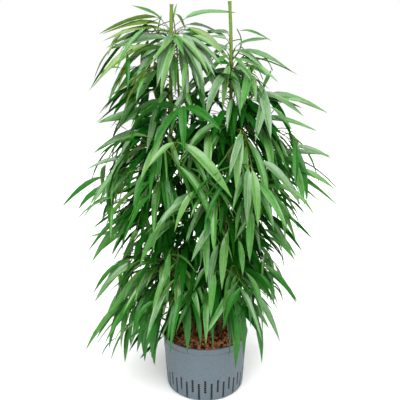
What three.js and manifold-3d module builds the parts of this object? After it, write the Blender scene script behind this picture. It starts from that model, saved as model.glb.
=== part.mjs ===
// A potted alii ficus: three cane stems stand in a slotted grow pot of clay granules. Side
// branches leave the stems all round, and each carries one mass of twigs and long hanging leaves.
// Millimetres, +Z up. The origin is the middle of the pot's flat underside, and -Y is the front.
import * as THREE from 'three';
import { mergeVertices } from 'three/addons/utils/BufferGeometryUtils.js';
import Module from 'manifold-3d';

const wasm = await Module();
wasm.setup();

const DEGREE = Math.PI / 180;
const GOLDEN_ANGLE = 137.5 * DEGREE;  // turn from one leaf to the next round a twig
const GAP = 0.3;                      // air between two pieces that meet
const FINENESS = 0.05;                // a joint's corners that matter less than this are dropped
const SAME_POINT = 1e-4;
const UP = new THREE.Vector3(0, 0, 1);
const ACROSS = new THREE.Vector3(1, 0, 0);

// The grow pot: 28 cm across its rim and 19 cm high, with slots round its foot
const pot = {
  sides: 40,
  height: 190,
  rimRadius: 140,
  lip: 1.5,
  collarHeight: 20,
  collarStep: 3,
  wallTopRadius: 136,
  wallFootRadius: 126,
  footRound: 12,
  wall: 2.5,
  floor: 4,
};
// Two staggered rows of upright slots; a slot of the lower row runs down round the foot
const slots = {
  width: 5.2,
  upperBottom: 31,
  upperTop: 76,
  lowerBottom: 5,
  lowerTop: 64,
  cutDepth: 30,
};
const fill = { top: 178, ringCount: 4, relief: 3.5, levelRound: 22 };

// Stems, by the points their axes pass through. The two canes are cut flat at the top.
const stemSpecs = [
  {
    name: 'stem_left',
    axis: [[-101, 8, fill.top + GAP], [-105, 4, 560], [-103, 0, 906], [-97, 0, 1200]],
    footRadius: 7.6,
    topRadius: 4.9,
    headSwell: 0.8,
    sides: 8,
  },
  {
    name: 'stem_right',
    axis: [[48, 2, fill.top + GAP], [61, -4, 560], [74, 0, 909], [67, 0, 1208]],
    footRadius: 7.2,
    topRadius: 4.5,
    headSwell: 1.2,
    sides: 8,
  },
  {
    name: 'stem_back',
    axis: [[-24, 48, fill.top + GAP], [-60, 44, 600], [-78, 38, 900], [-83, 36, 1030]],
    footRadius: 5.8,
    topRadius: 3,
    headSwell: 0,
    sides: 6,
  },
];
const stemShape = { steps: 7, flare: 0.55, flareHeight: 26, headHeight: 9 };

// The crown's outline, as [height, reach]: how far leaf tips reach from the pot's axis to
// the left and the right, and round the top of each cane from the cane's own axis
const outline = {
  left: [[1000, 340], [785, 338], [640, 428], [602, 447], [490, 370], [390, 342], [312, 363],
    [200, 358], [99, 401], [45, 340]],
  right: [[1000, 340], [890, 363], [762, 386], [656, 414], [600, 408], [480, 295], [281, 301],
    [190, 230], [45, 195]],
  leftTop: [[1215, 100], [1120, 202], [965, 238], [800, 258]],
  rightTop: [[1215, 70], [1103, 130], [1005, 195], [890, 296], [800, 310]],
};
const crown = {
  frontShare: 0.96,      // of the mean of left and right, to the front and the back
  lowest: [46, 290],     // how far down tips hang, at the sides and at the front and the back
  margin: 1.8,           // kept clear inside each space
  limbMargin: 1.6,       // between a leaf or twig and a limb
  potMargin: 4,
};
// Sloping, wavy shelves part the tiers of foliage, as [height at the axis, fall for each
// millimetre outwards, swing up and down round the plant]
const shelves = [[130, 0.7, 0], [410, 0.6, 45], [620, 0.6, 45], [850, 0.6, 40],
  [1000, 0.65, 0], [1600, 0, 0]];
const shelfWaves = 3;
const samples = 8;         // points tested along a leaf's edge or a twig
// Each tier has leading leaves that touch the outline at tipHeight, left and right. drop is the
// slope of those leaves, and hang the slope that the others end in.
const tiers = [
  { name: 'bottom', sectors: 5, turn: 0, tipHeight: [101, 185], drop: 52, hang: 78 },
  { name: 'lower', sectors: 6, turn: 0, tipHeight: [312, 285], drop: 44, hang: 76 },
  { name: 'middle', sectors: 5, turn: 18, tipHeight: [495, 490], drop: 40, hang: 72 },
  { name: 'upper', sectors: 6, turn: 0, tipHeight: [603, 654], drop: 34, hang: 70 },
];
const bottomRise = 160;    // of the bottom tier's tips at the front and the back
// The top masses lie round the canes, in the angle between two walls that run out from the
// left or the right cane. Each springs from a stem at a height, or goes on from the thin stem.
const topTier = {
  drop: 14,
  hang: 70,
  wallHeight: 1100,                // where the walls meet the canes' axes
  bulge: 40,                       // of the main twig, outwards
  forks: [[70, 975], [115, 1050]], // where they end, out from the cane and above the ground
};
const topMasses = [
  { name: 'top_left', stem: 0, from: [0, 180], to: [0, 255], aim: 192, root: 1040, tip: 1119 },
  { name: 'top_left_rear', stem: 0, from: [0, 105], to: [0, 180], aim: 160, root: 1060, tip: 1080 },
  { name: 'top_front', stem: 0, from: [0, 255], to: [1, 285], aim: 282, root: 1010, tip: 1062 },
  { name: 'top_right', stem: 1, from: [1, 285], to: [1, 360], aim: 348, root: 1020, tip: 1008 },
  { name: 'top_right_rear', stem: 1, from: [1, 0], to: [1, 75], aim: 22, root: 1045, tip: 1100 },
  { name: 'top_rear', stem: 2, from: [1, 75], to: [0, 105], aim: 78, root: null, tip: 1135 },
];
// Leaves that stand out from the top: where each leaves its mass's main twig, and its tip
const standingLeaves = {
  top_left: [[0.8, [-199, -30, 1198]], [1, [-332, -44, 964]]],
  top_right: [[1, [363, -44, 891]]],
  top_rear: [[1, [84, 62, 1178]], [0.9, [-83, 52, 1206]]],
};

const bough = {
  share: 0.33,         // of the way from its stem to the end of the twig that goes on from it
  rise: 0.85,          // for each millimetre outwards
  lowest: 18,          // of its root, above the fill
  midway: 0.5,         // of its tip, between the twig's end and the middle of the space
  bendPlace: 0.45,
  bendHeight: 0.62,
  rootRadius: 3.6,
  tipRadius: 2.6,
  sides: 4,
  steps: 4,
};
const mainTwig = { bend: 0.4, rootRadius: 2.5, tipRadius: 1.5, sides: 3, steps: 3 };
const forkTwig = { rootRadius: 2, tipRadius: 1.4, sides: 3, steps: 2 };
const sideTwig = { rootRadius: 1.7, tipRadius: 1.3, sides: 3, steps: 1 };
const growth = {
  // Each fork leaves the main twig at a share of its length, and ends at a share of the way from
  // there to the outline
  forks: [{ share: 0.12, reach: -0.1 }, { share: 0.3, reach: 0.42 }],
  forkBulge: 0.12,
  underShelf: 20,      // depth of a fork's tip under the shelf above
  sideCount: 3,        // on the main twig
  forkSideCount: 2,    // on each fork
  sidePlaces: [0.2, 0.88],
  sideLength: 125,
  leafSpacing: 48,
  leafPlaces: [0.2, 0.96],
  endLeaf: 0.98,
  tries: 9,            // each time a little further aside, lower or shorter
  tryAside: 0.1,
  tryLower: 8,
};
// A side twig turns aside from its parent, rises and bends over; less so towards the parent's tip
const sideRule = {
  turn: [30, 75],
  length: [0.65, 1.15],
  shortening: 0.25,
  rise: [-15, 72],
  levelling: 0.4,
  bend: 55,
};
const leaf = {
  length: 188,
  width: 41,
  edgeRise: 1,        // of the edges over the blade's middle line, where it is widest
  keelDrop: 1.6,      // of the midrib under it
  middle: 0.42,       // where the leaf is widest, from its root
  sinking: 0.9,       // of its root past the twig's axis
  arch: 0.07,         // of a leading leaf
  leading: 0.95,      // its length, against the others
  stemRoom: 22,       // least distance from a cane's axis to a top mass's last leaf
};
// A leaf starts along and aside of its twig, swings outwards and hangs
const leafRule = {
  along: 0.55,
  aside: 0.85,
  swing: [0.45, 0.75],
  rise: 45,
  steepest: 0.8,
  hang: [0.6, 1.1],
  firstBend: 0.25,
  lastBend: 0.8,
  length: [0.78, 1.1],
  shortening: 0.06,
  roll: [-60, 60],
};
// What each even number drawn for a leaf or a twig is used for
const use = { swing: 1, hang: 2, length: 3, roll: 4, place: 5, turn: 6, rise: 7, end: 8 };

const finishes = {
  pot: { color: 0x73808a, roughness: 0.62, metalness: 0 },
  clay: { color: 0x96583a, roughness: 0.95, metalness: 0 },
  cane: { color: 0x5d6b35, roughness: 0.7, metalness: 0 },
  bark: { color: 0x6b5138, roughness: 0.85, metalness: 0 },
  leaf: { color: 0x3c7a34, roughness: 0.5, metalness: 0 },
};

const plant = new THREE.Group();

function addPiece(name, geometry, finish) {
  const mesh = new THREE.Mesh(geometry, new THREE.MeshStandardMaterial(finish));
  mesh.name = name;
  plant.add(mesh);
}

// An even number from 0 to 1 that depends only on the whole numbers given
function draw(...keys) {
  let hash = 0x9e3779b9;
  for (const key of keys) {
    hash = Math.imul(hash ^ (key + 0x7f4a7c15), 0x85ebca6b);
    hash ^= hash >>> 13;
    hash = Math.imul(hash, 0xc2b2ae35);
    hash ^= hash >>> 16;
  }
  return (hash >>> 0) / 2 ** 32;
}

function mix(a, b, share) {
  return a + (b - a) * share;
}

function drawFrom([low, high], ...keys) {
  return mix(low, high, draw(...keys));
}

function heading(azimuth, elevation) {
  const level = Math.cos(elevation);
  return new THREE.Vector3(
    level * Math.cos(azimuth), level * Math.sin(azimuth), Math.sin(elevation));
}

function polar(radius, azimuth, z) {
  return new THREE.Vector3(radius * Math.cos(azimuth), radius * Math.sin(azimuth), z);
}

// Closed skins and solids

// A skin over rings of points that run round their line of travel, closed at both ends. The
// first or last ring may be a single point.
function skin(rings) {
  const positions = [];
  const index = [];
  const starts = [];
  for (const ring of rings) {
    starts.push(positions.length / 3);
    for (const point of ring) {
      positions.push(point.x, point.y, point.z);
    }
  }
  const count = rings[1].length;
  for (let i = 0; i + 1 < rings.length; i++) {
    const here = starts[i];
    const next = starts[i + 1];
    for (let j = 0; j < count; j++) {
      const k = (j + 1) % count;
      if (rings[i].length === 1) {
        index.push(here, next + k, next + j);
      } else if (rings[i + 1].length === 1) {
        index.push(here + j, here + k, next);
      } else {
        index.push(here + j, here + k, next + k, here + j, next + k, next + j);
      }
    }
  }
  const last = starts[rings.length - 1];
  for (let j = 1; j + 1 < count; j++) {
    if (rings[0].length > 1) {
      index.push(0, j + 1, j);
    }
    if (rings.at(-1).length > 1) {
      index.push(last, last + j, last + j + 1);
    }
  }
  const geometry = new THREE.BufferGeometry();
  geometry.setAttribute('position', new THREE.Float32BufferAttribute(positions, 3));
  geometry.setIndex(index);
  return geometry;
}

// The solid inside a closed geometry: vertices merged, faces that shrank to a line dropped
function toSolid(geometry) {
  const bare = geometry.clone();
  bare.deleteAttribute('normal');
  bare.deleteAttribute('uv');
  const merged = mergeVertices(bare, SAME_POINT);
  const corners = [];
  const index = merged.index.array;
  for (let i = 0; i < index.length; i += 3) {
    const [a, b, c] = [index[i], index[i + 1], index[i + 2]];
    if (a !== b && b !== c && c !== a) {
      corners.push(a, b, c);
    }
  }
  return new wasm.Manifold(new wasm.Mesh({
    numProp: 3,
    vertProperties: new Float32Array(merged.attributes.position.array),
    triVerts: new Uint32Array(corners),
  }));
}

// The geometry of a solid's largest body: scraps are dropped and sealed hollows filled
function toGeometry(solid) {
  const bodies = solid.asOriginal().simplify(FINENESS).decompose();
  bodies.sort((a, b) => b.volume() - a.volume());
  const mesh = bodies[0].getMesh();
  const geometry = new THREE.BufferGeometry();
  geometry.setAttribute('position', new THREE.BufferAttribute(mesh.vertProperties, 3));
  geometry.setIndex(new THREE.BufferAttribute(mesh.triVerts, 1));
  return geometry;
}

// Pot and fill

function turned(profile, sides) {
  const points = profile.map(([radius, z]) => new THREE.Vector2(radius, z));
  const geometry = new THREE.LatheGeometry(points, sides);
  geometry.rotateX(Math.PI / 2);
  geometry.rotateZ(Math.PI / sides);
  return geometry;
}

function wallRadius(z) {
  const wallTop = pot.height - pot.collarHeight;
  const share = (z - pot.footRound) / (wallTop - pot.footRound);
  return mix(pot.wallFootRadius, pot.wallTopRadius, share);
}

function innerRadius(z) {
  return wallRadius(z) - pot.wall;
}

function potGeometry() {
  const flat = pot.wallFootRadius - pot.footRound;
  const wallTop = pot.height - pot.collarHeight;
  const profile = [[0, 0]];
  profile.push([flat, 0]);
  profile.push([flat + pot.footRound * Math.SQRT1_2, pot.footRound * (1 - Math.SQRT1_2)]);
  profile.push([pot.wallFootRadius, pot.footRound]);
  profile.push([pot.wallTopRadius, wallTop]);
  profile.push([pot.wallTopRadius + pot.collarStep, wallTop + pot.collarStep / 2]);
  profile.push([pot.rimRadius, pot.height - pot.lip]);
  profile.push([pot.rimRadius - pot.lip, pot.height]);
  profile.push([innerRadius(pot.height), pot.height]);
  profile.push([innerRadius(pot.footRound), pot.footRound]);
  profile.push([flat, pot.floor]);
  profile.push([0, pot.floor]);
  let solid = toSolid(turned(profile, pot.sides));
  for (let i = 0; i < pot.sides; i++) {
    const upper = i % 2 === 0;
    const bottom = upper ? slots.upperBottom : slots.lowerBottom;
    const top = upper ? slots.upperTop : slots.lowerTop;
    const cutter = new THREE.BoxGeometry(slots.cutDepth, slots.width, top - bottom);
    cutter.translate(wallRadius((bottom + top) / 2), 0, (bottom + top) / 2);
    cutter.rotateZ((i / pot.sides) * 2 * Math.PI);
    solid = solid.subtract(toSolid(cutter));
  }
  return toGeometry(solid);
}

// The bed of granules fills the pot; its top is rough, but level where a stem stands
function fillGeometry(feet) {
  const floor = pot.floor + GAP;
  const flat = pot.wallFootRadius - pot.footRound;
  const profile = [[0, floor], [flat - GAP, floor]];
  profile.push([innerRadius(pot.footRound) - GAP, pot.footRound + GAP]);
  const edge = innerRadius(fill.top) - GAP;
  for (let i = 0; i <= fill.ringCount; i++) {
    profile.push([edge * (1 - i / fill.ringCount), fill.top]);
  }
  const geometry = turned(profile, pot.sides);
  const position = geometry.attributes.position;
  for (let i = 0; i < position.count; i++) {
    const [x, y, z] = [position.getX(i), position.getY(i), position.getZ(i)];
    const level = feet.some((foot) => Math.hypot(x - foot.x, y - foot.y) < fill.levelRound);
    if (z > fill.top - GAP && !level) {
      position.setZ(i, z - fill.relief * draw(Math.round(x), Math.round(y)));
    }
  }
  return toGeometry(toSolid(geometry));
}

// Limbs: a line of centres with a radius at each

function crossAxes(tangent, reference) {
  const v = reference.clone().addScaledVector(tangent, -reference.dot(tangent)).normalize();
  return [new THREE.Vector3().crossVectors(v, tangent), v];
}

function limbGeometry(limb, extra = 0) {
  const rings = limb.centres.map((centre, i) => {
    const [u, v] = crossAxes(limb.facing ?? limb.tangents[i], limb.reference);
    const ring = [];
    for (let j = 0; j < limb.sides; j++) {
      const angle = (j / limb.sides) * 2 * Math.PI;
      const radius = limb.radii[i] + extra;
      ring.push(centre.clone()
        .addScaledVector(u, radius * Math.cos(angle))
        .addScaledVector(v, radius * Math.sin(angle)));
    }
    return ring;
  });
  return skin(rings);
}

function makeStem(spec) {
  const curve = new THREE.CatmullRomCurve3(spec.axis.map((p) => new THREE.Vector3(...p)));
  const stem = { name: spec.name, sides: spec.sides, reference: ACROSS };
  Object.assign(stem, { centres: [], tangents: [], radii: [] });
  const height = spec.axis.at(-1)[2] - fill.top;
  const stations = [0, stemShape.flareHeight / 3 / height, stemShape.flareHeight / height];
  for (let i = 1; i < stemShape.steps; i++) {
    stations.push(i / stemShape.steps);
  }
  stations.push(1 - stemShape.headHeight / height, 1);
  stations.sort((a, b) => a - b);
  for (const station of stations) {
    const taper = mix(spec.footRadius, spec.topRadius, station);
    const flare = Math.max(0, 1 - (station * height) / stemShape.flareHeight) ** 2;
    const head = station === 1 ? spec.headSwell : 0;
    const upright = station === 0 || station === 1;
    stem.centres.push(curve.getPointAt(station));
    stem.tangents.push(upright ? UP : curve.getTangentAt(station));
    stem.radii.push(taper * (1 + stemShape.flare * flare) + head);
  }
  stem.at = (z) => {
    const i = stem.centres.findIndex((centre) => centre.z >= z);
    const [low, high] = [stem.centres[i - 1], stem.centres[i]];
    return low.clone().lerp(high, (z - low.z) / (high.z - low.z));
  };
  return stem;
}

// A limb that tapers along one bend
function bentLimb(start, control, end, size) {
  const curve = new THREE.QuadraticBezierCurve3(start, control, end);
  const limb = { sides: size.sides, reference: size.reference ?? UP };
  Object.assign(limb, { centres: [], tangents: [], radii: [] });
  for (let i = 0; i <= size.steps; i++) {
    const share = i / size.steps;
    limb.centres.push(curve.getPoint(share));
    limb.tangents.push(curve.getTangent(share));
    limb.radii.push(mix(size.rootRadius, size.tipRadius, share));
  }
  return limb;
}

function distanceToLimb(point, limb) {
  let least = Infinity;
  const step = new THREE.Vector3();
  const away = new THREE.Vector3();
  for (let i = 0; i + 1 < limb.centres.length; i++) {
    step.subVectors(limb.centres[i + 1], limb.centres[i]);
    away.subVectors(point, limb.centres[i]);
    const share = THREE.MathUtils.clamp(away.dot(step) / step.lengthSq(), 0, 1);
    const surface = mix(limb.radii[i], limb.radii[i + 1], share);
    least = Math.min(least, away.addScaledVector(step, -share).length() - surface);
  }
  return least;
}

// The crown's spaces

function reachIn(profile, z) {
  for (let i = 0; i + 1 < profile.length; i++) {
    const [[high, highReach], [low, lowReach]] = [profile[i], profile[i + 1]];
    if (z >= low) {
      return mix(lowReach, highReach, Math.min(1, (z - low) / (high - low)));
    }
  }
  return profile.at(-1)[1];
}

// Between two profiles, by how far the azimuth turns to the left or the right
function reachAround([leftProfile, rightProfile], azimuth, z) {
  const left = reachIn(leftProfile, z);
  const right = reachIn(rightProfile, z);
  const side = Math.cos(azimuth);
  const middle = crown.frontShare * (left + right) / 2;
  return mix(middle, side < 0 ? left : right, side * side);
}

function shelfHeight([height, fall, swing], point) {
  const wave = Math.cos(shelfWaves * Math.atan2(point.y, point.x));
  return height - fall * Math.hypot(point.x, point.y) + swing * wave;
}

// How far a point lies ahead of a wall's foot, along a heading
function aheadOf(wall, azimuth, point) {
  return Math.cos(azimuth) * (point.x - wall.foot.x)
    + Math.sin(azimuth) * (point.y - wall.foot.y);
}

// How far a point lies to the left of a wall, seen along the wall
function leftOf(wall, point) {
  return Math.cos(wall.azimuth) * (point.y - wall.foot.y)
    - Math.sin(wall.azimuth) * (point.x - wall.foot.x);
}

// Inside the space, with the margin: between its two walls, above and below its shelves, within
// the crown's outline and off the pot
function insideSpace(space, point) {
  const x = point.x - space.apex.x;
  const y = point.y - space.apex.y;
  const azimuth = Math.atan2(y, x);
  const reach = reachAround(space.profiles, azimuth, point.z);
  const offPot = Math.hypot(point.x, point.y) > pot.rimRadius + crown.potMargin
    || point.z > pot.height + crown.potMargin;
  const middle = (space.from.azimuth + space.to.azimuth) / 2;
  return aheadOf(space.from, middle, point) > crown.margin
    && leftOf(space.from, point) > crown.margin
    && leftOf(space.to, point) < -crown.margin
    && point.z > shelfHeight(space.low, point) + crown.margin
    && point.z < shelfHeight(space.high, point) - crown.margin
    && Math.hypot(x, y) <= reach + crown.margin
    && point.z >= mix(...crown.lowest, Math.abs(Math.sin(azimuth)))
    && offPot;
}

// The point of the crown's outline that a space's leading leaf reaches
function furthestPoint(space) {
  const radius = reachAround(space.profiles, space.aim, space.tipHeight);
  return polar(radius, space.aim, space.tipHeight)
    .add(new THREE.Vector3(space.apex.x, space.apex.y, 0));
}

// Leaves and twigs

// A blade runs from a point sunk in its twig, through a keeled section at its widest, to its tip
function bladeRings(blade) {
  const forward = blade.tip.clone().sub(blade.root).normalize();
  const [level, top] = crossAxes(forward, UP);
  const across = level.multiplyScalar(-Math.cos(blade.roll))
    .addScaledVector(top, Math.sin(blade.roll));
  const face = new THREE.Vector3().crossVectors(across, forward);
  const corners = [
    across.clone().multiplyScalar(blade.width / 2).addScaledVector(face, leaf.edgeRise),
    face.clone().multiplyScalar(-leaf.keelDrop),
    across.clone().multiplyScalar(-blade.width / 2).addScaledVector(face, leaf.edgeRise),
  ];
  const sunk = blade.root.clone().addScaledVector(forward, -leaf.sinking);
  return [[sunk], corners.map((corner) => blade.middle.clone().add(corner)), [blade.tip]];
}

function bladeFits(blade, space, limbs) {
  const [, middle, [tip]] = bladeRings(blade);
  for (let i = 1; i <= samples; i++) {
    for (const edge of middle) {
      for (const [from, to] of [[blade.root, edge], [edge, tip]]) {
        const point = from.clone().lerp(to, i / samples);
        if (!insideSpace(space, point)) {
          return false;
        }
        if (limbs.some((limb) => distanceToLimb(point, limb) < crown.limbMargin)) {
          return false;
        }
      }
    }
  }
  return true;
}

function twigFits(line, space, limbs) {
  const clearance = crown.limbMargin + line.radii[0];
  for (let i = 1; i <= samples; i++) {
    const [point] = pointOn(line, i / samples);
    if (!insideSpace(space, point)) {
      return false;
    }
    if (limbs.some((limb) => distanceToLimb(point, limb) < clearance)) {
      return false;
    }
  }
  return true;
}

// A leaf springs from its twig, leans outwards from the crown and hangs by its own weight
function leafFrom(root, forward, turn, space, keys, attempt) {
  const [u, v] = crossAxes(forward, UP);
  const start = forward.clone().multiplyScalar(leafRule.along)
    .addScaledVector(u, leafRule.aside * Math.cos(turn))
    .addScaledVector(v, leafRule.aside * Math.sin(turn));
  const outward = Math.atan2(root.y - space.apex.y, root.x - space.apex.x);
  let swing = Math.atan2(start.y, start.x) - outward;
  swing = Math.atan2(Math.sin(swing), Math.cos(swing));
  const azimuth = outward + swing * drawFrom(leafRule.swing, ...keys, use.swing);
  const { steepest } = leafRule;
  const rise = THREE.MathUtils.clamp(start.z, -steepest, steepest) * leafRule.rise;
  const hang = -space.hang * drawFrom(leafRule.hang, ...keys, use.hang);
  const length = leaf.length * drawFrom(leafRule.length, ...keys, use.length)
    * (1 - leafRule.shortening * attempt);
  const first = heading(azimuth, mix(rise, hang, leafRule.firstBend) * DEGREE);
  const last = heading(azimuth, mix(rise, hang, leafRule.lastBend) * DEGREE);
  const middle = root.clone().addScaledVector(first, leaf.middle * length);
  const tip = middle.clone().addScaledVector(last, (1 - leaf.middle) * length);
  const roll = drawFrom(leafRule.roll, ...keys, use.roll) * DEGREE;
  return { root, middle, tip, roll, width: leaf.width * length / leaf.length };
}

function leafTo(root, tip) {
  const length = root.distanceTo(tip);
  const middle = root.clone().lerp(tip, leaf.middle).addScaledVector(UP, leaf.arch * length);
  return { root, middle, tip, roll: 0, width: leaf.width * length / leaf.length };
}

function pointOn(line, share) {
  const place = share * (line.centres.length - 1);
  const i = Math.min(Math.floor(place), line.centres.length - 2);
  const forward = line.centres[i + 1].clone().sub(line.centres[i]).normalize();
  return [line.centres[i].clone().lerp(line.centres[i + 1], place - i), forward];
}

function lengthOf(line) {
  let length = 0;
  for (let i = 0; i + 1 < line.centres.length; i++) {
    length += line.centres[i].distanceTo(line.centres[i + 1]);
  }
  return length;
}

function meetsAny(solid, others) {
  return others.some((other) => !solid.intersect(other).isEmpty());
}

// The first of a few leaves tried at a place that keeps to the space and meets nothing
function addLeaf(mass, line, share, turn, keys) {
  const [root, forward] = pointOn(line, share);
  const others = [...mass.leafSolids];
  mass.twigs.forEach((other, i) => {
    if (other !== line) {
      others.push(mass.twigSolids[i]);
    }
  });
  for (let attempt = 0; attempt < growth.tries; attempt++) {
    const tryKeys = [...keys, attempt];
    const spin = turn + attempt * GOLDEN_ANGLE;
    const blade = leafFrom(root, forward, spin, mass.space, tryKeys, attempt);
    if (bladeFits(blade, mass.space, mass.limbs)) {
      const solid = toSolid(skin(bladeRings(blade)));
      if (!meetsAny(solid, others)) {
        mass.leafSolids.push(solid);
        return;
      }
    }
  }
}

function addLeavesAlong(mass, line, keys) {
  const [first, last] = growth.leafPlaces;
  const count = Math.round(lengthOf(line) * (last - first) / growth.leafSpacing);
  for (let i = 0; i < count; i++) {
    const share = mix(first, last, (i + 0.5) / count);
    const turn = i * GOLDEN_ANGLE + draw(...keys, use.turn) * 2 * Math.PI;
    addLeaf(mass, line, share, turn, [...keys, i]);
  }
}

function branchOff(parent, share, side, keys) {
  const [root, forward] = pointOn(parent, share);
  const turn = side * drawFrom(sideRule.turn, ...keys, use.turn) * DEGREE;
  const azimuth = Math.atan2(forward.y, forward.x) + turn;
  const half = growth.sideLength / 2 * drawFrom(sideRule.length, ...keys, use.length)
    * (1 - sideRule.shortening * share);
  const rise = drawFrom(sideRule.rise, ...keys, use.rise) * (1 - sideRule.levelling * share);
  const control = root.clone().addScaledVector(heading(azimuth, rise * DEGREE), half);
  const end = control.clone()
    .addScaledVector(heading(azimuth, (rise - sideRule.bend) * DEGREE), half);
  const line = bentLimb(root, control, end, sideTwig);
  line.facing = end.clone().sub(root).normalize();
  return line;
}

// A twig is kept if it keeps to the space and meets only its parent
function addTwig(mass, line, parent) {
  const solid = toSolid(limbGeometry(line));
  const others = [...mass.leafSolids];
  mass.twigs.forEach((other, i) => {
    if (other !== parent) {
      others.push(mass.twigSolids[i]);
    }
  });
  const fits = twigFits(line, mass.space, mass.limbs) && !meetsAny(solid, others);
  if (fits) {
    mass.twigs.push(line);
    mass.twigSolids.push(solid);
  }
  return fits;
}

function addSideTwig(mass, parent, number, count, keys) {
  const spread = (number + draw(...keys, use.place)) / count;
  const share = mix(...growth.sidePlaces, spread);
  for (let attempt = 0; attempt < growth.tries; attempt++) {
    const side = (number + attempt) % 2 ? 1 : -1;
    const line = branchOff(parent, share, side, [...keys, attempt]);
    if (addTwig(mass, line, parent)) {
      return;
    }
  }
}

// A fork leaves the main twig and fills the space under the shelf above
function addFork(mass, main, number) {
  const [root, forward] = pointOn(main, growth.forks[number].share);
  for (let attempt = 0; attempt < growth.tries; attempt++) {
    const end = forkEnd(mass, root, number, attempt);
    const control = root.clone().lerp(end, 0.5)
      .addScaledVector(forward.clone().add(UP), growth.forkBulge * root.distanceTo(end));
    const line = bentLimb(root, control, end, forkTwig);
    line.facing = end.clone().sub(root).normalize();
    if (addTwig(mass, line, main)) {
      return line;
    }
  }
  return null;
}

// One mass: a main twig with its forks and side twigs, then leaves along them all and one at
// each end
function growMass(mass, number, main) {
  mass.twigs = [main];
  mass.twigSolids = [toSolid(limbGeometry(main))];
  const leading = [leafTo(main.centres.at(-1), furthestPoint(mass.space))];
  for (const [share, tip] of standingLeaves[mass.name] ?? []) {
    const [root] = pointOn(main, share);
    leading.push(leafTo(root, new THREE.Vector3(...tip)));
  }
  mass.leafSolids = leading.map((blade) => toSolid(skin(bladeRings(blade))));
  growth.forks.forEach((_, i) => {
    const fork = addFork(mass, main, i);
    for (let j = 0; fork && j < growth.forkSideCount; j++) {
      addSideTwig(mass, fork, j, growth.forkSideCount, [number, i + 1, j]);
    }
  });
  for (let j = 0; j < growth.sideCount; j++) {
    addSideTwig(mass, main, j, growth.sideCount, [number, 0, j]);
  }
  mass.twigs.slice(1).forEach((line, i) => {
    const turn = draw(number, i, use.end) * 2 * Math.PI;
    addLeaf(mass, line, growth.endLeaf, turn, [number, i, use.end]);
  });
  mass.twigs.forEach((line, i) => addLeavesAlong(mass, line, [number, i]));
  return wasm.Manifold.union([...mass.twigSolids, ...mass.leafSolids]);
}

// Assembly

const stems = stemSpecs.map(makeStem);
const feet = stems.map((stem) => stem.centres[0]);

const origin = new THREE.Vector3();
const masses = [];
tiers.forEach((tier, level) => {
  for (let i = 0; i < tier.sectors; i++) {
    const turn = Math.PI * (1 + 2 * i / tier.sectors) + tier.turn * DEGREE;
    const half = Math.PI / tier.sectors;
    const toRight = (1 + Math.cos(turn)) / 2;
    const rise = level === 0 ? bottomRise * Math.sin(turn) ** 2 : 0;
    masses.push({
      name: `${tier.name}_${i + 1}`,
      drop: tier.drop * DEGREE,
      space: {
        apex: origin,
        from: { foot: origin, azimuth: turn - half },
        to: { foot: origin, azimuth: turn + half },
        low: shelves[level],
        high: shelves[level + 1],
        profiles: [outline.left, outline.right],
        aim: turn,
        tipHeight: mix(...tier.tipHeight, toRight) + rise,
        hang: tier.hang,
      },
    });
  }
});
const caneTops = stems.slice(0, 2).map((stem) => stem.at(topTier.wallHeight));
for (const top of topMasses) {
  const onRight = top.stem === 1;
  const profile = onRight ? outline.rightTop : outline.leftTop;
  const [from, to] = [top.from, top.to].map(([cane, turn]) => (
    { foot: caneTops[cane], azimuth: turn * DEGREE }));
  masses.push({
    name: top.name,
    drop: topTier.drop * DEGREE,
    space: {
      apex: caneTops[onRight ? 1 : 0],
      from,
      to,
      low: shelves[tiers.length],
      high: shelves[tiers.length + 1],
      profiles: [profile, profile],
      aim: top.aim * DEGREE,
      tipHeight: top.tip,
      hang: topTier.hang,
    },
    stem: stems[top.stem],
    height: top.root,
  });
}

// Where a mass's main twig ends: a leaf's length inside the crown's furthest point, and clear
// of the stem
function twigEnd(mass) {
  const { profiles, aim, tipHeight } = mass.space;
  const radius = reachAround(profiles, aim, tipHeight);
  const room = (radius - leaf.stemRoom) / Math.cos(mass.drop);
  const length = Math.min(leaf.length * leaf.leading, room);
  return furthestPoint(mass.space).addScaledVector(heading(aim, -mass.drop), -length);
}

// Where its fork ends: close under the shelf above, or out from the cane on a top mass
function forkEnd(mass, root, number, attempt) {
  const { space } = mass;
  const aim = space.aim + (attempt % 2 ? 1 : -1) * growth.tryAside * attempt;
  if (mass.stem) {
    const [radius, height] = topTier.forks[number];
    const end = polar(radius, aim, height - growth.tryLower * attempt);
    return end.add(new THREE.Vector3(space.apex.x, space.apex.y, 0));
  }
  const start = Math.hypot(root.x, root.y);
  const reach = reachAround(space.profiles, space.aim, root.z);
  const end = polar(mix(start, reach, growth.forks[number].reach), aim, 0);
  end.z = shelfHeight(space.high, end) - growth.underShelf - growth.tryLower * attempt;
  return end;
}

// The branch that carries a mass leaves the nearest stem, rises, and ends where leaves begin
function makeBough(mass) {
  const end = twigEnd(mass);
  const lowest = fill.top + bough.lowest;
  let nearest = null;
  for (const stem of stems) {
    const axis = stem.at(Math.max(end.z, lowest));
    const distance = Math.hypot(axis.x - end.x, axis.y - end.y);
    if (!nearest || distance < nearest.distance) {
      nearest = { stem, axis, distance };
    }
  }
  const tip = nearest.axis.clone().lerp(end, bough.share);
  const { low, high } = mass.space;
  const fromShelf = end.z - shelfHeight(low, end);
  const middle = (shelfHeight(high, tip) - shelfHeight(low, tip)) / 2;
  tip.z = shelfHeight(low, tip) + mix(fromShelf, middle, bough.midway);
  const run = nearest.distance * bough.share;
  const rootHeight = Math.max(tip.z - bough.rise * run, lowest);
  const root = nearest.stem.at(rootHeight);
  const control = root.clone().lerp(tip, bough.bendPlace);
  control.z = mix(rootHeight, tip.z, bough.bendHeight);
  return { ...bentLimb(root, control, tip, bough), stem: nearest.stem, end };
}

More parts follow.
